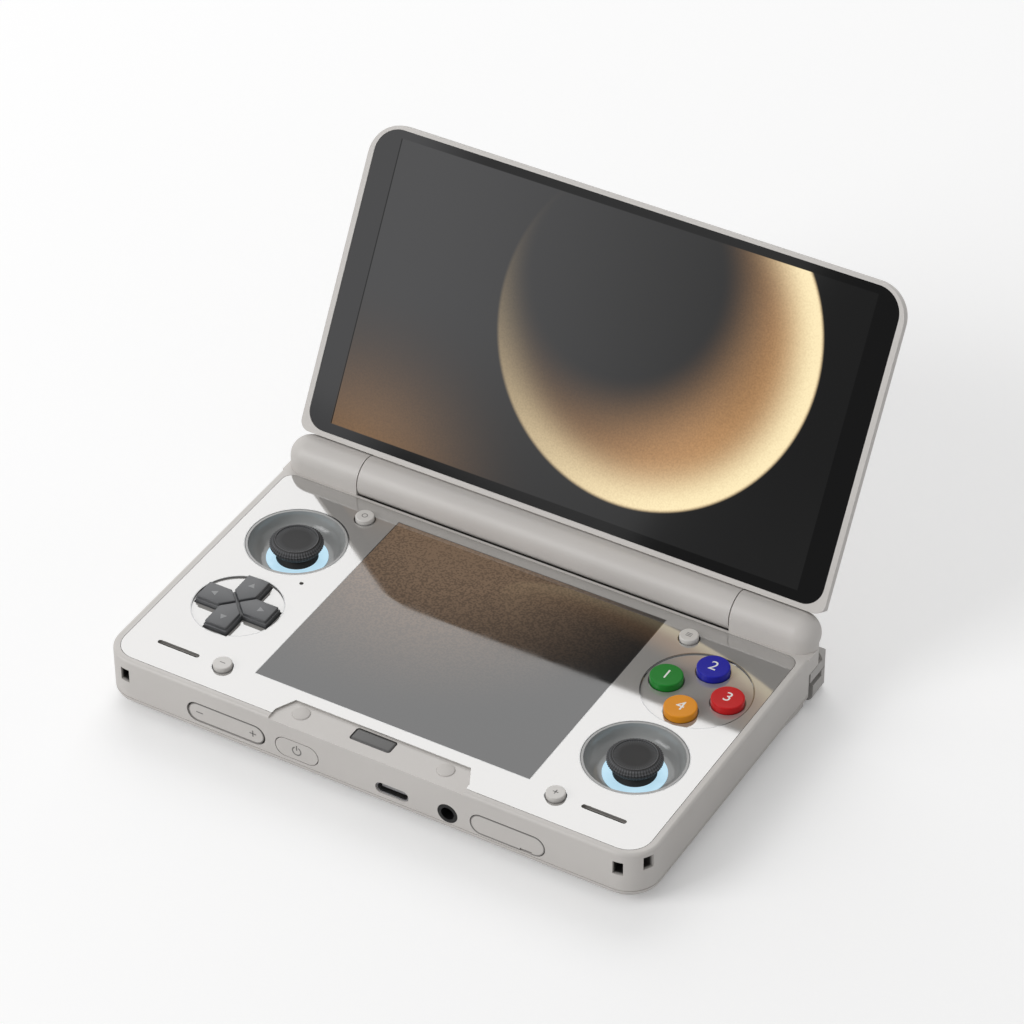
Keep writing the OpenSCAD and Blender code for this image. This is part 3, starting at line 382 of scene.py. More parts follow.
# The crescent lies inside the outer circle and outside the inner one. Places on the panel are
# given across from its middle and up from the hinge line.
outer_at = (14 * mm, 58 * mm)
outer_r = 43 * mm
inner_at = (2 * mm, 70 * mm)
inner_r = 41 * mm
haze_at = (-58 * mm, -6 * mm)
past_outer = disc(across, up, *outer_at, outer_r)
past_inner = disc(across, up, *inner_at, inner_r)
limb = past_outer.rise(0.9 * mm, -0.3 * mm)
hollow = past_inner.rise(-16 * mm, 8 * mm)
heart = past_outer.rise(-17 * mm, -0.5 * mm)
to_right = across.rise(-34 * mm, 36 * mm)
crescent = limb * hollow * (0.25 + 0.75 * to_right)
sparkle = picture.noise(0.45 * mm, detail=0.0)
soft = picture.noise(30 * mm)
haze = disc(across, up, *haze_at, 0.0).rise(62 * mm, 4 * mm) ** 2 * 0.5
warm = (crescent + haze) * (0.75 + 0.25 * soft) * (0.82 + 0.36 * sparkle)
ground_tone = picture.mix(across.rise(-66 * mm, 60 * mm), srgb(68, 68, 69), srgb(22, 22, 22))
ground = picture.mix(up.rise(50 * mm, 5 * mm) * 0.55, ground_tone, srgb(30, 30, 30))
amber = picture.mix(warm, ground, srgb(190, 144, 98))
bright = crescent * heart * heart * (0.86 + 0.28 * sparkle)
glow = picture.mix(bright, amber, srgb(255, 236, 190))
inside = (
    across.rise(-lit_half - 0.1 * mm, -lit_half + 0.1 * mm)
    * across.rise(lit_half + 0.1 * mm, lit_half - 0.1 * mm)
    * up.rise(lit_near - 0.1 * mm, lit_near + 0.1 * mm)
    * up.rise(lit_far + 0.1 * mm, lit_far - 0.1 * mm)
)
edge_in = across + lit_half
seam = edge_in.rise(-0.05 * mm, 0.05 * mm) * edge_in.rise(0.4 * mm, 0.3 * mm)
# The printed border glows grey at its left end and fades to black: a painted sheen on the print.
border_and_sheen = picture.mix(across.rise(-66 * mm, -40 * mm), srgb(60, 60, 61), srgb(10, 10, 10))
lit_face = picture.mix(inside, border_and_sheen, glow)
picture.feed("Emission Color", picture.mix(seam * inside, lit_face, srgb(24, 24, 24)))
picture.feed("Base Color", picture.mix(soft, srgb(8, 8, 9), srgb(12, 12, 12)))
skin("upper_glass", "lid", picture)


# Stick wells: bowls of smooth grey plastic. They are moulded with a thin rim and glued from
# below into the plate's round openings.

bowl = Finish("well_grey", {})
bowl.feed("Base Color", bowl.mix(bowl.noise(12 * mm), srgb(158, 158, 157), srgb(167, 167, 165)))
bowl.feed("Roughness", 0.15 + 0.05 * bowl.noise(1.2 * mm))
skin("stick_wells", "base", bowl, crease=40)


# Light rings: rings of frosted clear plastic pressed into the foot of each well, and lit from
# below in pale blue.

ring_light = Finish("ring_light", {"Roughness": 0.5, "Emission Strength": 1.0})
frost = ring_light.noise(2.5 * mm)
ring_light.feed("Base Color", ring_light.mix(frost, srgb(120, 136, 148), srgb(140, 152, 162)))
ring_light.feed("Emission Color", ring_light.mix(frost, srgb(168, 204, 222), srgb(180, 214, 230)))
skin("light_rings", "base", ring_light)


# Stick caps: soft black rubber moulded over a hard core that presses on the stick's shaft. The
# side has a fine diamond knurl, and the dished top sits inside a narrow raised rim.

rubber = Finish("cap_rubber", {})
dust = rubber.noise(3 * mm, detail=4.0)
rubber.feed("Base Color", rubber.mix(dust, srgb(90, 91, 93), srgb(100, 101, 103)))
rubber_grain = rubber.noise(0.25 * mm)
rubber.feed("Roughness", 0.52 + 0.12 * rubber_grain)
rubber.relief(rubber_grain, 0.012 * mm)

# The knurl's grooves and the lower part of the band are painted darker: painted shade, carried by a
# value stored on each point of the grip.
knurled = Finish("cap_knurl", {})
ridge_shade = knurled.add("ShaderNodeAttribute", {"attribute_name": "knurl_shade"}, output="Fac")
worn = knurled.noise(1.1 * mm, detail=3.0)
groove_shade_tone = srgb(10, 10, 11)
ridge_tone = srgb(86, 87, 90)
knurled.feed("Base Color", knurled.mix(ridge_shade * (0.7 + 0.5 * worn), groove_shade_tone, ridge_tone))
knurled.feed("Roughness", 0.62 - 0.2 * ridge_shade)
# The dome below each grip is painted near black: painted shade under the grip's bulge.
dome_shade = moulded("cap_dome_shade", srgb(22, 23, 24), srgb(28, 29, 30), roughness=0.7)


def turned(profile, segments, centre):
    """A closed turned shape: a circle is drawn at the first radius and height, and then drawn out
    and resized to each next pair of the profile, as on a lathe."""
    bpy.ops.object.select_all(action="DESELECT")
    first_r, first_z = profile[0]
    bpy.ops.mesh.primitive_circle_add(
        vertices=segments, radius=first_r, fill_type="NGON", location=(centre[0], centre[1], first_z)
    )
    piece = bpy.context.object
    bpy.ops.object.mode_set(mode="EDIT")
    bpy.ops.mesh.select_all(action="SELECT")
    radius, level = first_r, first_z
    for next_r, next_z in profile[1:]:
        bpy.ops.mesh.extrude_region_move(TRANSFORM_OT_translate={"value": (0, 0, next_z - level)})
        scale = next_r / radius
        bpy.ops.transform.resize(value=(scale, scale, 1), center_override=(centre[0], centre[1], next_z))
        radius, level = next_r, next_z
    bpy.ops.mesh.select_all(action="SELECT")
    bpy.ops.mesh.normals_make_consistent(inside=False)
    bpy.ops.object.mode_set(mode="OBJECT")
    return piece


# The knurled band bulges: it is widest at two thirds of its height, and is drawn in below and
# above that. Its ridges are two sets of waves that climb round it in opposite ways.
cap_segments = 448
rows = 36
knurl_count = 28
knurl_climb = math.tau * 2.6
knurl_depth = 0.34 * mm
widest = 0.66
draw_in_below = 2.05 * mm
draw_in_above = 1.25 * mm
for side in ("left", "right"):
    low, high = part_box(f"{side}_stick_cap")
    middle = mid(f"{side}_stick_cap")
    top = high.z
    side_r = (high.x - low.x) / 2 - 0.15 * mm
    band_inner_r = side_r - 2.2 * mm
    dished_r = side_r - 1.4 * mm
    band_low = top - 3.9 * mm
    band_high = top - 0.12 * mm
    profile = [(2.6 * mm, band_low - 0.1 * mm), (4.4 * mm, band_low - 0.1 * mm)]
    for row in range(rows + 1):
        share = row / rows
        under = max(0.0, widest - share) / widest
        over = max(0.0, share - widest) / (1 - widest)
        drawn_in = draw_in_below * under**1.6 + draw_in_above * over**2.2
        profile.append((side_r - drawn_in, band_low + (band_high - band_low) * share))
    profile += [
        (side_r - 1.3 * mm, top - 0.03 * mm),
        (side_r - 1.45 * mm, top),
        (side_r - 1.6 * mm, top - 0.04 * mm),
        (side_r - 1.7 * mm, top - 0.22 * mm),
        (side_r - 1.8 * mm, top - 0.22 * mm),
        (3.5 * mm, top - 0.34 * mm),
        (1.8 * mm, top - 0.42 * mm),
        (0.4 * mm, top - 0.44 * mm),
    ]
    cap = turned(profile, cap_segments, middle)
    only(cap)
    bpy.ops.object.transform_apply(location=True, rotation=True, scale=True)
    knurl_shade = cap.data.attributes.new("knurl_shade", "FLOAT", "POINT")
    facing = [normal.vector.copy() for normal in cap.data.vertex_normals]
    for vertex in cap.data.vertices:
        out = vertex.co.xy - middle.xy
        share = (vertex.co.z - band_low) / (band_high - band_low)
        if out.length > band_inner_r and 0.0 < share < 0.995:
            turn = math.atan2(out.y, out.x) * knurl_count
            climb = share * knurl_climb
            ridge = 0.5 + 0.5 * math.cos(turn + climb) * math.cos(turn - climb)
            fade = min(1.0, 5 * share, 20 * (1 - share))
            vertex.co += facing[vertex.index] * knurl_depth * (ridge - 1.0) * fade
            # The stored value says how lit each point is painted: light on the ridges, dark in the
            # grooves and darker towards the bottom of the band. It is painted shade.
            knurl_shade.data[vertex.index].value = ridge * fade * (0.3 + 0.7 * share)
    only(cap)
    bpy.ops.object.shade_smooth_by_angle(angle=math.radians(60))
    fix(cap, f"{side}_stick_grip", f"{side}_stick_cap", knurled)
    cap.data.materials.append(rubber.material)
    for face in cap.data.polygons:
        reach = (face.center.xy - middle.xy).length
        in_top = reach < dished_r and face.center.z > band_high
        face.material_index = 1 if in_top else 0

    # The dome below the grip stays as it is in the CAD cap, whose top the grip replaces. It is
    # painted near black, as painted shade under the grip.
    dome = skin(f"{side}_stick_cap", f"{side}_stick_cap", dome_shade)
    only(dome)
    bpy.ops.object.mode_set(mode="EDIT")
    bpy.ops.mesh.select_all(action="DESELECT")
    bpy.ops.object.mode_set(mode="OBJECT")
    grip_floor = top - 3.55 * mm
    for face in dome.data.polygons:
        face.select = face.center.z > grip_floor
    bpy.ops.object.mode_set(mode="EDIT")
    bpy.ops.mesh.delete(type="FACE")
    bpy.ops.object.mode_set(mode="OBJECT")
    dome.name = f"{side}_stick_dome"


# Direction pad: one dark grey moulding of four arms that meet in a cross groove, on a round
# flange below the plate. A small pointer is pad-printed on each arm.

charcoal = moulded("pad_charcoal", srgb(78, 79, 81), srgb(84, 85, 87), roughness=0.4)
print_grey = Finish("print_grey", {"Roughness": 0.5})
print_wear = print_grey.noise(0.6 * mm)
print_grey.feed("Base Color", print_grey.mix(print_wear, srgb(132, 133, 134), srgb(150, 151, 152)))
ink = 0.02 * mm


def plate_mark(outline_vertices, radius, at, turn=0.0, hole=0.0):
    """A thin printed shape lying flat: a filled many-sided outline, or a ring if it has a hole."""
    bpy.ops.object.select_all(action="DESELECT")
    bpy.ops.mesh.primitive_cylinder_add(
        vertices=outline_vertices,
        radius=radius,
        depth=ink,
        location=at,
        rotation=(0, 0, turn),
    )
    mark = bpy.context.object
    if hole:
        bpy.ops.mesh.primitive_cylinder_add(
            vertices=outline_vertices, radius=hole, depth=4 * ink, location=at, rotation=(0, 0, turn)
        )
        cutter = bpy.context.object
        cut = mark.modifiers.new("hole", "BOOLEAN")
        cut.object = cutter
        only(mark)
        bpy.ops.object.modifier_apply(modifier=cut.name)
        bpy.data.objects.remove(cutter)
    return mark


def bar(size, at):
    """A straight bar, with its size (x, y, z) about the point at."""
    bpy.ops.object.select_all(action="DESELECT")
    bpy.ops.mesh.primitive_cube_add(size=1, location=at)
    strip = bpy.context.object
    strip.scale = size
    return strip


def joined(pieces):
    """Several pieces made one mesh."""
    only(pieces[0])
    for piece in pieces[1:]:
        piece.select_set(True)
    bpy.ops.object.join()
    return bpy.context.object


def edge_rounded(piece, width, segments=3):
    """Rounds every sharp edge of a simple solid."""
    only(piece)
    bpy.ops.object.transform_apply(location=True, rotation=True, scale=True)
    rounding = piece.modifiers.new("edge", "BEVEL")
    rounding.width = width
    rounding.segments = segments
    rounding.limit_method = "ANGLE"
    rounding.angle_limit = math.radians(30)
    bpy.ops.object.modifier_apply(modifier=rounding.name)
    bpy.ops.object.shade_smooth_by_angle(angle=math.radians(40))
    return piece


pad_low, pad_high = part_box("dpad")
pad_middle = mid("dpad")
pad_top = pad_high.z
span = pad_high.x - pad_low.x
arm_w = 6.6 * mm
arm_top_w = arm_w - 0.5 * mm
arm_sunk = 0.4 * mm
arm_edge = 0.22 * mm
low_bar_edge = 0.25 * mm
stagger = 0.05 * mm
arm_in = 0.5 * mm
arm_out = span / 2 - 0.35 * mm
step_z = pad_top - 0.85 * mm
cross_low = pad_top - 4.0 * mm
pointer_out = 6.6 * mm
pointer_r = 1.05 * mm
flange_inner_r = 4.0 * mm
flange_outer_r = 9.0 * mm
flange_top = pad_low.z + 0.8 * mm
arms = []
pointers = []
for quarter in range(4):
    turn = quarter * math.pi / 2
    way = Vector((math.cos(turn), math.sin(turn), 0))
    aside_way = Vector((-way.y, way.x, 0))
    centre = pad_middle + way * (arm_in + arm_out) / 2
    centre.z = (pad_top + step_z - arm_sunk) / 2
    arm = bar((arm_out - arm_in, arm_top_w, pad_top - step_z + arm_sunk), centre)
    arm.rotation_euler = (0, 0, turn)
    only(arm)
    bpy.ops.object.transform_apply(location=True, rotation=True, scale=True)
    for lean in (-1, 1):
        bpy.ops.object.mode_set(mode="EDIT")
        bpy.ops.mesh.select_all(action="SELECT")
        tip = pad_middle + way * arm_in
        bpy.ops.mesh.bisect(
            plane_co=tip, plane_no=way + aside_way * lean, use_fill=True, clear_inner=True
        )
        bpy.ops.object.mode_set(mode="OBJECT")
    arms.append(edge_rounded(arm, arm_edge))
    mark_at = pad_middle + way * pointer_out
    mark_at.z = pad_top
    pointers.append(plate_mark(3, pointer_r, mark_at, turn - math.pi / 2))

# The two lower bars differ a little in height, so that their tops don't lie in one plane.
for long_x, long_y in ((span, arm_w), (arm_w, span)):
    low_bar = bar((long_x, long_y, step_z - cross_low), pad_middle)
    low_bar.location.z = (step_z + cross_low) / 2 - (stagger if long_y > long_x else 0)
    arms.append(edge_rounded(low_bar, low_bar_edge))
flange = [
    (flange_inner_r, pad_low.z),
    (flange_outer_r, pad_low.z),
    (flange_outer_r, flange_top),
    (flange_inner_r, flange_top),
]
arms.append(turned(flange, 64, pad_middle))
cross = joined(arms)
fix(cross, "dpad_cross", "dpad", charcoal)
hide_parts("dpad")
fix(joined(pointers), "dpad_pointers", "dpad", print_grey)


# Face buttons: glossy coloured caps with softly rounded edges. A plain white numeral is
# moulded through each one, flush with its top.

button_tones = {
    "button_left": (srgb(20, 124, 38), srgb(26, 134, 44), "1"),
    "button_top": (srgb(26, 28, 160), srgb(32, 34, 172), "2"),
    "button_right": (srgb(198, 22, 26), srgb(208, 28, 32), "3"),
    "button_bottom": (srgb(232, 148, 30), srgb(238, 156, 38), "4"),
}
white_ink = Finish("numeral_white", {"Roughness": 0.3})
whiteness = white_ink.noise(0.8 * mm)
white_ink.feed("Base Color", white_ink.mix(whiteness, srgb(236, 236, 232), srgb(246, 246, 242)))
numeral_size = 4.5 * mm
for node, (low_tone, high_tone, numeral) in button_tones.items():
    gel = Finish(f"{node}_gel", {"Specular IOR Level": 0.22})
    gel.feed("Base Color", gel.mix(gel.noise(5 * mm), low_tone, high_tone))
    gel.feed("Roughness", 0.3 + 0.08 * gel.noise(0.5 * mm))
    skin(node, node, gel, crease=40)
    cap_middle = mid(node)
    cap_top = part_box(node)[1].z
    bpy.ops.object.select_all(action="DESELECT")
    bpy.ops.object.text_add(location=(cap_middle.x, cap_middle.y, cap_top - ink / 2))
    figure = bpy.context.object
    figure.data.body = numeral
    figure.data.size = numeral_size
    figure.data.align_x = "CENTER"
    figure.data.align_y = "CENTER"
    figure.data.extrude = ink
    only(figure)
    bpy.ops.object.convert(target="MESH")
    fix(bpy.context.object, f"{node}_numeral", node, white_ink)


# Small buttons: four round keys of pale grey plastic that stand through holes in the plate, on
# the rubber mats below. Each has a tiny printed sign.

key_grey = moulded("key_grey", srgb(210, 207, 203), srgb(215, 212, 208), roughness=0.35)
sign_grey = Finish("sign_grey", {"Roughness": 0.5})
sign_wear = sign_grey.noise(0.5 * mm)
sign_grey.feed("Base Color", sign_grey.mix(sign_wear, srgb(112, 110, 108), srgb(124, 122, 120)))
stroke_long = 1.5 * mm
stroke_wide = 0.26 * mm
rung_wide = 0.22 * mm
rung_gap = 0.5 * mm
for node in small_keys:
    skin(node, node, key_grey, crease=40)
    top = mid(node)
    top.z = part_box(node)[1].z
    if node == "left_upper_button":
        sign = plate_mark(24, 0.8 * mm, top, hole=0.55 * mm)
    elif node == "right_upper_button":
        rungs = [top + Vector((0, step * rung_gap, 0)) for step in (-1, 0, 1)]
        sign = joined([bar((stroke_long, rung_wide, ink), rung) for rung in rungs])
    elif node == "left_lower_button":
        sign = bar((stroke_long, stroke_wide, ink), top)
    else:
        level_stroke = bar((stroke_long, stroke_wide, ink), top)
        sign = joined([level_stroke, bar((stroke_wide, stroke_long, ink), top)])
    fix(sign, f"{node}_sign", node, sign_grey)


# Keys in the front wall: the volume rocker and the power button, in the housing's plastic, held
# from inside by the key board. Their signs are sunk lines, shown as thin darker inlays.


def rimmed(node):
    """The housing's plastic on a pill-shaped key, darker at its outline, where the gap shades it."""
    finish = moulded(f"{node}_grey", grey_low, grey_high, grey_roughness)
    key_low, key_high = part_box(node)
    half_high = (key_high.z - key_low.z) / 2
    half_long = (key_high.x - key_low.x) / 2 - half_high
    at_x, _, at_z = finish.axes()
    from_middle = (at_x - (key_low.x + key_high.x) / 2).size()
    beyond = (from_middle - half_long).larger(0.0)
    above_middle = at_z - (key_low.z + key_high.z) / 2
    inward = half_high - (beyond * beyond + above_middle * above_middle) ** 0.5
    shade = inward.rise(0.4 * mm, 0.12 * mm) * 0.75
    clouds = finish.noise(cloud_size, detail=3.0).rise(0.3, 0.7)
    plain = finish.mix(clouds, grey_low, grey_high)
    finish.feed("Base Color", finish.mix(shade, plain, srgb(84, 82, 80)))
    return finish


skin("volume_rocker", "volume_rocker", rimmed("volume_rocker"), crease=40)
skin("power_button", "power_button", rimmed("power_button"), crease=40)
rocker_face = mid("volume_rocker")
rocker_face.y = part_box("volume_rocker")[0].y
sign_reach = Vector((7.6 * mm, 0, 0))
sign_long = 1.9 * mm
sign_wide = 0.32 * mm
minus = bar((sign_long, ink, sign_wide), rocker_face - sign_reach)
plus = joined([
    bar((sign_long, ink, sign_wide), rocker_face + sign_reach),
    bar((sign_wide, ink, sign_long), rocker_face + sign_reach),
])
fix(joined([minus, plus]), "volume_signs", "volume_rocker", sign_grey)

power_face = mid("power_button")
power_face.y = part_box("power_button")[0].y
arc_outer_r = 1.35 * mm
arc_inner_r = 1.0 * mm
arc = plate_mark(32, arc_outer_r, (0, 0, 0), hole=arc_inner_r)
gap = bar((1.0 * mm, 1.6 * mm, 4 * ink), (0, 1.2 * mm, 0))
cut = arc.modifiers.new("gap", "BOOLEAN")
cut.object = gap
only(arc)
bpy.ops.object.modifier_apply(modifier=cut.name)
bpy.data.objects.remove(gap)
stroke = bar((0.34 * mm, 1.5 * mm, ink), (0, 0.95 * mm, 0))
power_sign = joined([arc, stroke])
power_sign.rotation_euler = (math.pi / 2, 0, 0)
power_sign.location = power_face
fix(power_sign, "power_sign", "power_button", sign_grey)


# Card cover: a push-in lid of the housing's plastic over the memory card slot. It is held by
# friction, and pulls straight out.

skin("card_cover", "card_cover", rimmed("card_cover"), crease=40)


# USB-C port: a rolled steel shell, soldered to the main board, with a black tongue that
# carries the gilt contacts.

steel = Finish("port_steel", {"Metallic": 1.0})
brushing = steel.noise(0.4 * mm, detail=4.0)
steel.feed("Base Color", steel.mix(brushing, srgb(150, 150, 152), srgb(178, 178, 180)))
steel.feed("Roughness", 0.28 + 0.14 * brushing)
skin("usb_port", "base", steel, crease=40)

tongue_black = moulded("tongue_black", srgb(20, 20, 22), srgb(27, 27, 29), roughness=0.4)
gilt = Finish("contact_gold", {"Metallic": 1.0})
gilt.feed("Base Color", gilt.mix(gilt.noise(0.2 * mm), srgb(206, 164, 86), srgb(222, 184, 106)))
gilt.feed("Roughness", 0.25 + 0.1 * gilt.noise(0.1 * mm))
port = mid("usb_port")
mouth_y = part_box("usb_port")[0].y
tongue_size = (6.74 * mm, 5.6 * mm, 0.74 * mm)
tongue_edge = 0.12 * mm
tongue = bar(tongue_size, (port.x, mouth_y + 3.9 * mm, port.z))
only(tongue)
bpy.ops.object.transform_apply(location=True, rotation=True, scale=True)
bpy.ops.object.mode_set(mode="EDIT")
bpy.ops.mesh.select_all(action="SELECT")
bpy.ops.mesh.bevel(offset=tongue_edge, segments=2)
bpy.ops.object.mode_set(mode="OBJECT")
fix(tongue, "usb_tongue", "base", tongue_black)
contact_count = 12
contact_pitch = 0.5 * mm
contact_size = (0.26 * mm, 3.0 * mm, 0.03 * mm)
contact_y = mouth_y + 3.0 * mm
contact_off = 0.38 * mm
contacts = []
for row in range(contact_count):
    contact_x = port.x + (row - (contact_count - 1) / 2) * contact_pitch
    for way_up in (-1, 1):
        contacts.append(bar(contact_size, (contact_x, contact_y, port.z + way_up * contact_off)))
fix(joined(contacts), "usb_contacts", "base", gilt)


# Headphone jack: a black moulded barrel, soldered to the main board, with its mouth flush in
# the front wall.

jack_black = Finish("jack_black", {})
jack_clouds = jack_black.noise(1.5 * mm)
jack_black.feed("Base Color", jack_black.mix(jack_clouds, srgb(16, 16, 17), srgb(24, 24, 25)))
jack_black.feed("Roughness", 0.26 + 0.1 * jack_black.noise(0.4 * mm))
skin("headphone_jack", "base", jack_black, crease=40)


# Badge and rests in the front notch: a bare dark satin plate with rounded corners, and two
# small round pads of soft silicone, all glued down.

badge_dark = Finish("badge_satin", {})
satin = badge_dark.noise(0.25 * mm, detail=3.0)
badge_dark.feed("Base Color", badge_dark.mix(satin, srgb(70, 69, 68), srgb(82, 81, 80)))
badge_dark.feed("Roughness", 0.3 + 0.14 * satin)


def tile(size, at, corner, edge):
    """A flat plate with rounded corners in plan and a softly rounded rim."""
    plate = bar(size, at)
    only(plate)
    bpy.ops.object.transform_apply(location=True, rotation=True, scale=True)
    bpy.ops.object.mode_set(mode="EDIT")
    bpy.ops.mesh.select_all(action="DESELECT")
    bpy.ops.object.mode_set(mode="OBJECT")
    for side_edge in plate.data.edges:
        start, end = (plate.data.vertices[index].co for index in side_edge.vertices)
        side_edge.select = abs(start.z - end.z) > size[2] / 2
    bpy.ops.object.mode_set(mode="EDIT")
    bpy.ops.mesh.bevel(offset=corner, segments=8, affect="EDGES")
    bpy.ops.object.mode_set(mode="OBJECT")
    return edge_rounded(plate, edge)


badge_low, badge_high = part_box("badge")
badge_plate = tile(badge_high - badge_low, mid("badge"), corner=0.8 * mm, edge=0.2 * mm)
fix(badge_plate, "badge_plate", "base", badge_dark)
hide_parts("badge")
pad_soft = moulded("pad_silicone", srgb(198, 194, 190), srgb(206, 202, 198), roughness=0.6)
rest_low, rest_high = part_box("notch_pads")
rest_r = (rest_high.y - rest_low.y) / 2
rest_edge = 0.2 * mm
rest_profile = [
    (rest_r, rest_low.z),
    (rest_r, rest_high.z - rest_edge),
    (rest_r - 0.3 * rest_edge, rest_high.z - 0.3 * rest_edge),
    (rest_r - rest_edge, rest_high.z),
]
rests = []
for rest_x in (rest_low.x + rest_r, rest_high.x - rest_r):
    rests.append(turned(rest_profile, 64, (rest_x, rest_low.y + rest_r)))
rests = joined(rests)
bpy.ops.object.shade_smooth_by_angle(angle=math.radians(50))
fix(rests, "notch_rests", "base", pad_soft)
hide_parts("notch_pads")


# Speaker cloth: a fine black weave, glued behind the two speaker slots. A small disc of the
# same cloth covers the microphone below its hole.

weave = Finish("speaker_weave", {"Roughness": 0.8})
thread = 0.28 * mm
weft, warp, _ = weave.axes()
weft = weft * (math.tau / thread)
warp = warp * (math.tau / thread)
crossing = weft.sine() * warp.sine()
weave.feed("Base Color", weave.mix(0.5 + 0.5 * crossing, srgb(6, 6, 6), srgb(30, 29, 28)))
weave.relief(crossing, 0.03 * mm)
skin("speaker_mesh", "base", weave)

mic_at = (-46.4 * mm, front + 45.8 * mm)
mic_r = 0.53 * mm
mic_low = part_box("face_plate")[1].z - 0.78 * mm
mic_high = mic_low + 0.1 * mm
mic_rim = [
    (0.1 * mm, mic_low),
    (mic_r, mic_low),
    (mic_r, mic_high),
    (0.1 * mm, mic_high),
]
fix(turned(mic_rim, 24, mic_at), "mic_cloth", "base", weave)


# Feet: four round pads of grey rubber, glued into shallow seats in the bottom cover. They are
# the plane that the console stands on.

foot_rubber = moulded("foot_rubber", srgb(96, 95, 94), srgb(106, 105, 104), roughness=0.75)
skin("rubber_feet", "base", foot_rubber)


# Cover screws: seven zinc-plated cross-recess screws that hold the bottom cover to the base
# frame. The four rear ones sit nearer to the table than the front three.

zinc = Finish("screw_zinc", {"Metallic": 1.0})
plating = zinc.noise(0.5 * mm, detail=3.0)
zinc.feed("Base Color", zinc.mix(plating, srgb(122, 122, 124), srgb(150, 150, 152)))
zinc.feed("Roughness", 0.3 + 0.2 * plating)
head_r = 1.8 * mm
recess_long = 2.0 * mm
recess_wide = 0.46 * mm
recess_high = 0.9 * mm
front_level = 2.8 * mm
rear_level = 0.8 * mm

# Each row is a screw's place across and back, and the height of the underside of its head.
screw_spots = [
    (70 * mm, front + 16 * mm, front_level),
    (-70 * mm, front + 16 * mm, front_level),
    (70 * mm, front + 76.5 * mm, rear_level),
    (-70 * mm, front + 76.5 * mm, rear_level),
    (45 * mm, front + 87 * mm, rear_level),
    (-45 * mm, front + 87 * mm, rear_level),
    (-5 * mm, front + 5 * mm, front_level),
]
heads = []
for x, y, face_z in screw_spots:
    head_profile = [
        (head_r - 0.5 * mm, face_z),
        (head_r - 0.15 * mm, face_z + 0.1 * mm),
        (head_r, face_z + 0.3 * mm),
        (head_r, face_z + 0.8 * mm),
    ]
    head = turned(head_profile, 48, (x, y))
    slot_a = bar((recess_long, recess_wide, recess_high), (x, y, face_z))
    slot_b = bar((recess_wide, recess_long, recess_high), (x, y, face_z))
    for cutter in (slot_a, slot_b):
        cut = head.modifiers.new("recess", "BOOLEAN")
        cut.object = cutter
        only(head)
        bpy.ops.object.modifier_apply(modifier=cut.name)
        bpy.data.objects.remove(cutter)
    heads.append(head)
screws = joined(heads)
bpy.ops.object.shade_smooth_by_angle(angle=math.radians(35))
fix(screws, "screw_heads", "base", zinc)
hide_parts("cover_screws")


# Hinge pins: ground steel pins, pressed into the knuckles of the base. The lid's barrel turns
# on them.

for side in ("left", "right"):
    skin(f"{side}_hinge_pin", "base", steel)


# Works inside the base and the lid: boards, battery, cooler, displays and switches, dressed in
# their real finishes. They are seen only through openings.

solder_mask = moulded("solder_mask", srgb(20, 74, 48), srgb(26, 88, 56), roughness=0.35)
foil = Finish("cell_foil", {"Metallic": 0.6})
crinkle = foil.noise(4 * mm, detail=5.0)
foil.feed("Base Color", foil.mix(crinkle, srgb(96, 100, 104), srgb(118, 122, 126)))
foil.feed("Roughness", 0.3 + 0.2 * crinkle)
foil.relief(crinkle, 0.1 * mm)
copper = Finish("sink_copper", {"Metallic": 1.0})
tarnish = copper.noise(6 * mm, detail=4.0)
copper.feed("Base Color", copper.mix(tarnish, srgb(168, 100, 70), srgb(192, 122, 88)))
copper.feed("Roughness", 0.28 + 0.2 * tarnish)
nylon = moulded("gimbal_nylon", srgb(214, 212, 206), srgb(224, 222, 216), roughness=0.45)
works_black = moulded("works_black", srgb(30, 30, 32), srgb(38, 38, 40), roughness=0.5)
silicone = moulded("membrane_silicone", srgb(170, 172, 174), srgb(182, 184, 186), roughness=0.6)
works = {
    "main_board": solder_mask,
    "key_board": solder_mask,
    "button_boards": solder_mask,
    "battery": foil,
    "processor": steel,
    "heat_sink": copper,
    "fan_housing": works_black,
    "fan_rotor": works_black,
    "card_reader": steel,
    "speakers": works_black,
    "stick_bases": steel,
    "left_stick_yoke": nylon,
    "right_stick_yoke": nylon,
    "left_stick_shaft": nylon,
    "right_stick_shaft": nylon,
    "dpad_ball": steel,
    "tact_switches": steel,
    "button_membranes": silicone,
    "trigger_brackets": works_black,
    "lower_display": steel,
    "upper_display": steel,
    "lid_stiffener": steel,
    "lid_magnets": steel,
}
for node, finish in works.items():
    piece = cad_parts[node]
    piece.data.materials.clear()
    piece.data.materials.append(finish.material)


# Studio: a white floor, an even white room, a large soft lamp in front and one behind, which
# the glossy plate and the lower screen mirror.

bpy.ops.object.select_all(action="DESELECT")
bpy.ops.mesh.primitive_plane_add(size=6.0, location=(0, 0, 0))
floor = bpy.context.object
floor.name = "studio_floor"
paper = Finish(
    "studio_paper", {"Roughness": 0.9, "Specular IOR Level": 0.0, "Emission Strength": 1.0}
)
seen = paper.add("ShaderNodeLightPath", output="Is Camera Ray")
paper.feed("Base Color", paper.mix(seen, srgb(228, 228, 228), srgb(252, 252, 252)))
paper.feed("Emission Color", paper.mix(seen, srgb(0, 0, 0), srgb(108, 108, 108)))
floor.data.materials.append(paper.material)

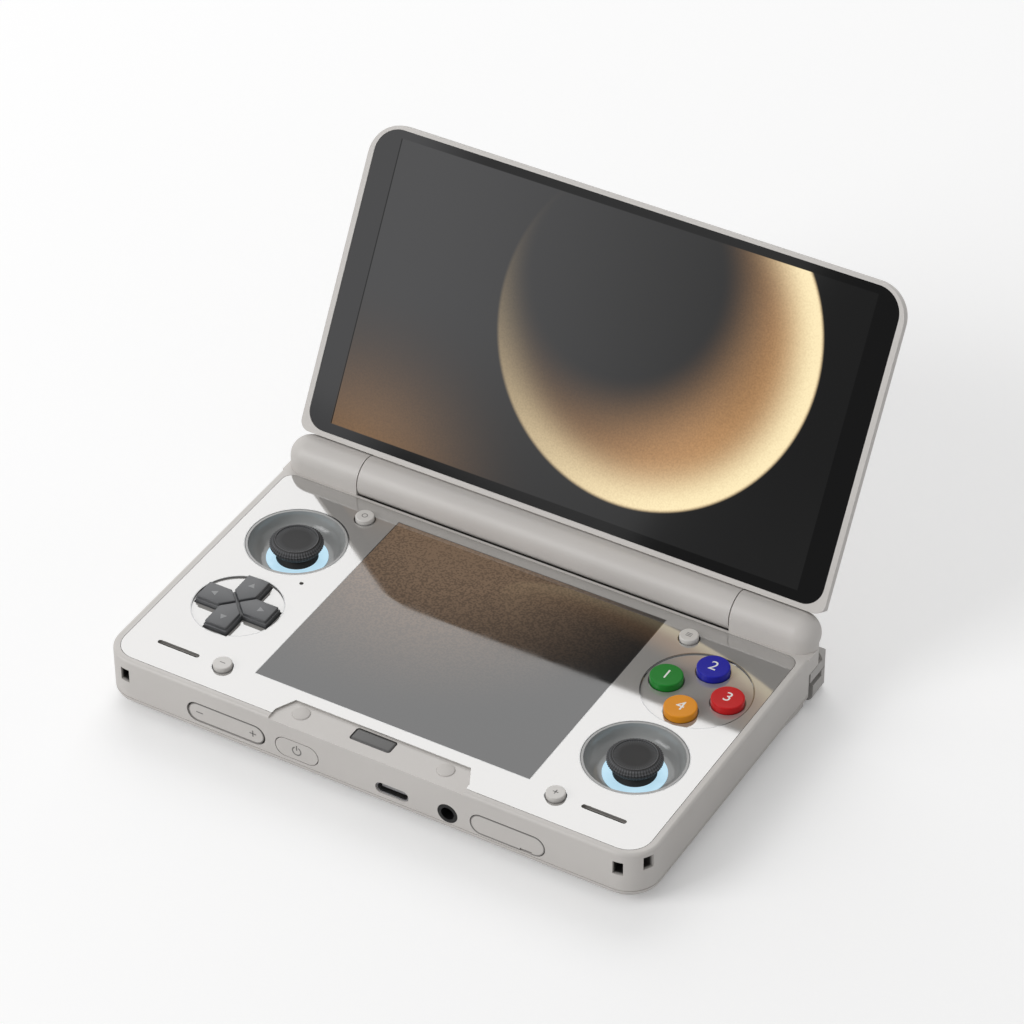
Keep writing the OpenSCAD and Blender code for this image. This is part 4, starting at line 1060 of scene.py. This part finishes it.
room = bpy.data.worlds.new("studio_room")
bpy.context.scene.world = room
room.use_nodes = True
air = Nodes(room.node_tree)
ray = air.add("ShaderNodeLightPath", output="Is Camera Ray")
mirrored = Field(air, ray.socket.node.outputs["Is Glossy Ray"])
through = Field(air, ray.socket.node.outputs["Is Transmission Ray"])
fill = 0.45
visible = (ray + mirrored + through).rise(0.0, 1.0)
strength = fill + (1 - fill) * visible
backdrop = air.tree.nodes["Background"]
backdrop.inputs["Color"].default_value = (1, 1, 1, 1)
air.tree.links.new(strength.socket, backdrop.inputs["Strength"])


def soft_lamp(name, at, size, power):
    """A square soft lamp at a place in metres, of a power in watts, turned to the console."""
    lamp = bpy.data.lights.new(name, "AREA")
    lamp.size = size
    lamp.energy = power
    holder = bpy.data.objects.new(name, lamp)
    bpy.context.scene.collection.objects.link(holder)
    holder.location = at
    console_middle = Vector((0, 0, 0.03))
    holder.rotation_euler = (console_middle - Vector(at)).to_track_quat("-Z", "Y").to_euler()
    holder.visible_camera = False


soft_lamp("front_lamp", at=(-0.9, -1.2, 0.9), size=0.9, power=12.0)
soft_lamp("back_lamp", at=(-0.7, 1.2, 1.15), size=1.5, power=11.0)


# Camera: it stands to the front and right of the console and looks down on it, through a
# long lens.

view_turn = math.radians(30.42)
view_rise = math.radians(38.751)
view_roll = math.radians(-0.322)
view_distance = 1068.703 * mm
lens_mm = 155.49
aside = 12.08 * mm
above = 32.458 * mm
datum = Vector((0, front + 45.0 * mm, 16.2 * mm))

away = Vector((
    math.sin(view_turn) * math.cos(view_rise),
    -math.cos(view_turn) * math.cos(view_rise),
    math.sin(view_rise),
))
level_right = Vector((math.cos(view_turn), math.sin(view_turn), 0))
level_up = away.cross(level_right)
right = level_right * math.cos(view_roll) + level_up * math.sin(view_roll)
upward = level_up * math.cos(view_roll) - level_right * math.sin(view_roll)
eye = bpy.data.cameras.new("camera")
eye.lens = lens_mm
eye.sensor_width = 36.0
eye.clip_start = 0.05
stand = bpy.data.objects.new("camera", eye)
bpy.context.scene.collection.objects.link(stand)
stand_at = datum + right * aside + upward * above + away * view_distance
turned_to = Matrix((right, upward, away)).transposed().to_4x4()
stand.matrix_world = Matrix.Translation(stand_at) @ turned_to
bpy.context.scene.camera = stand
bpy.context.scene.view_settings.view_transform = "Standard"
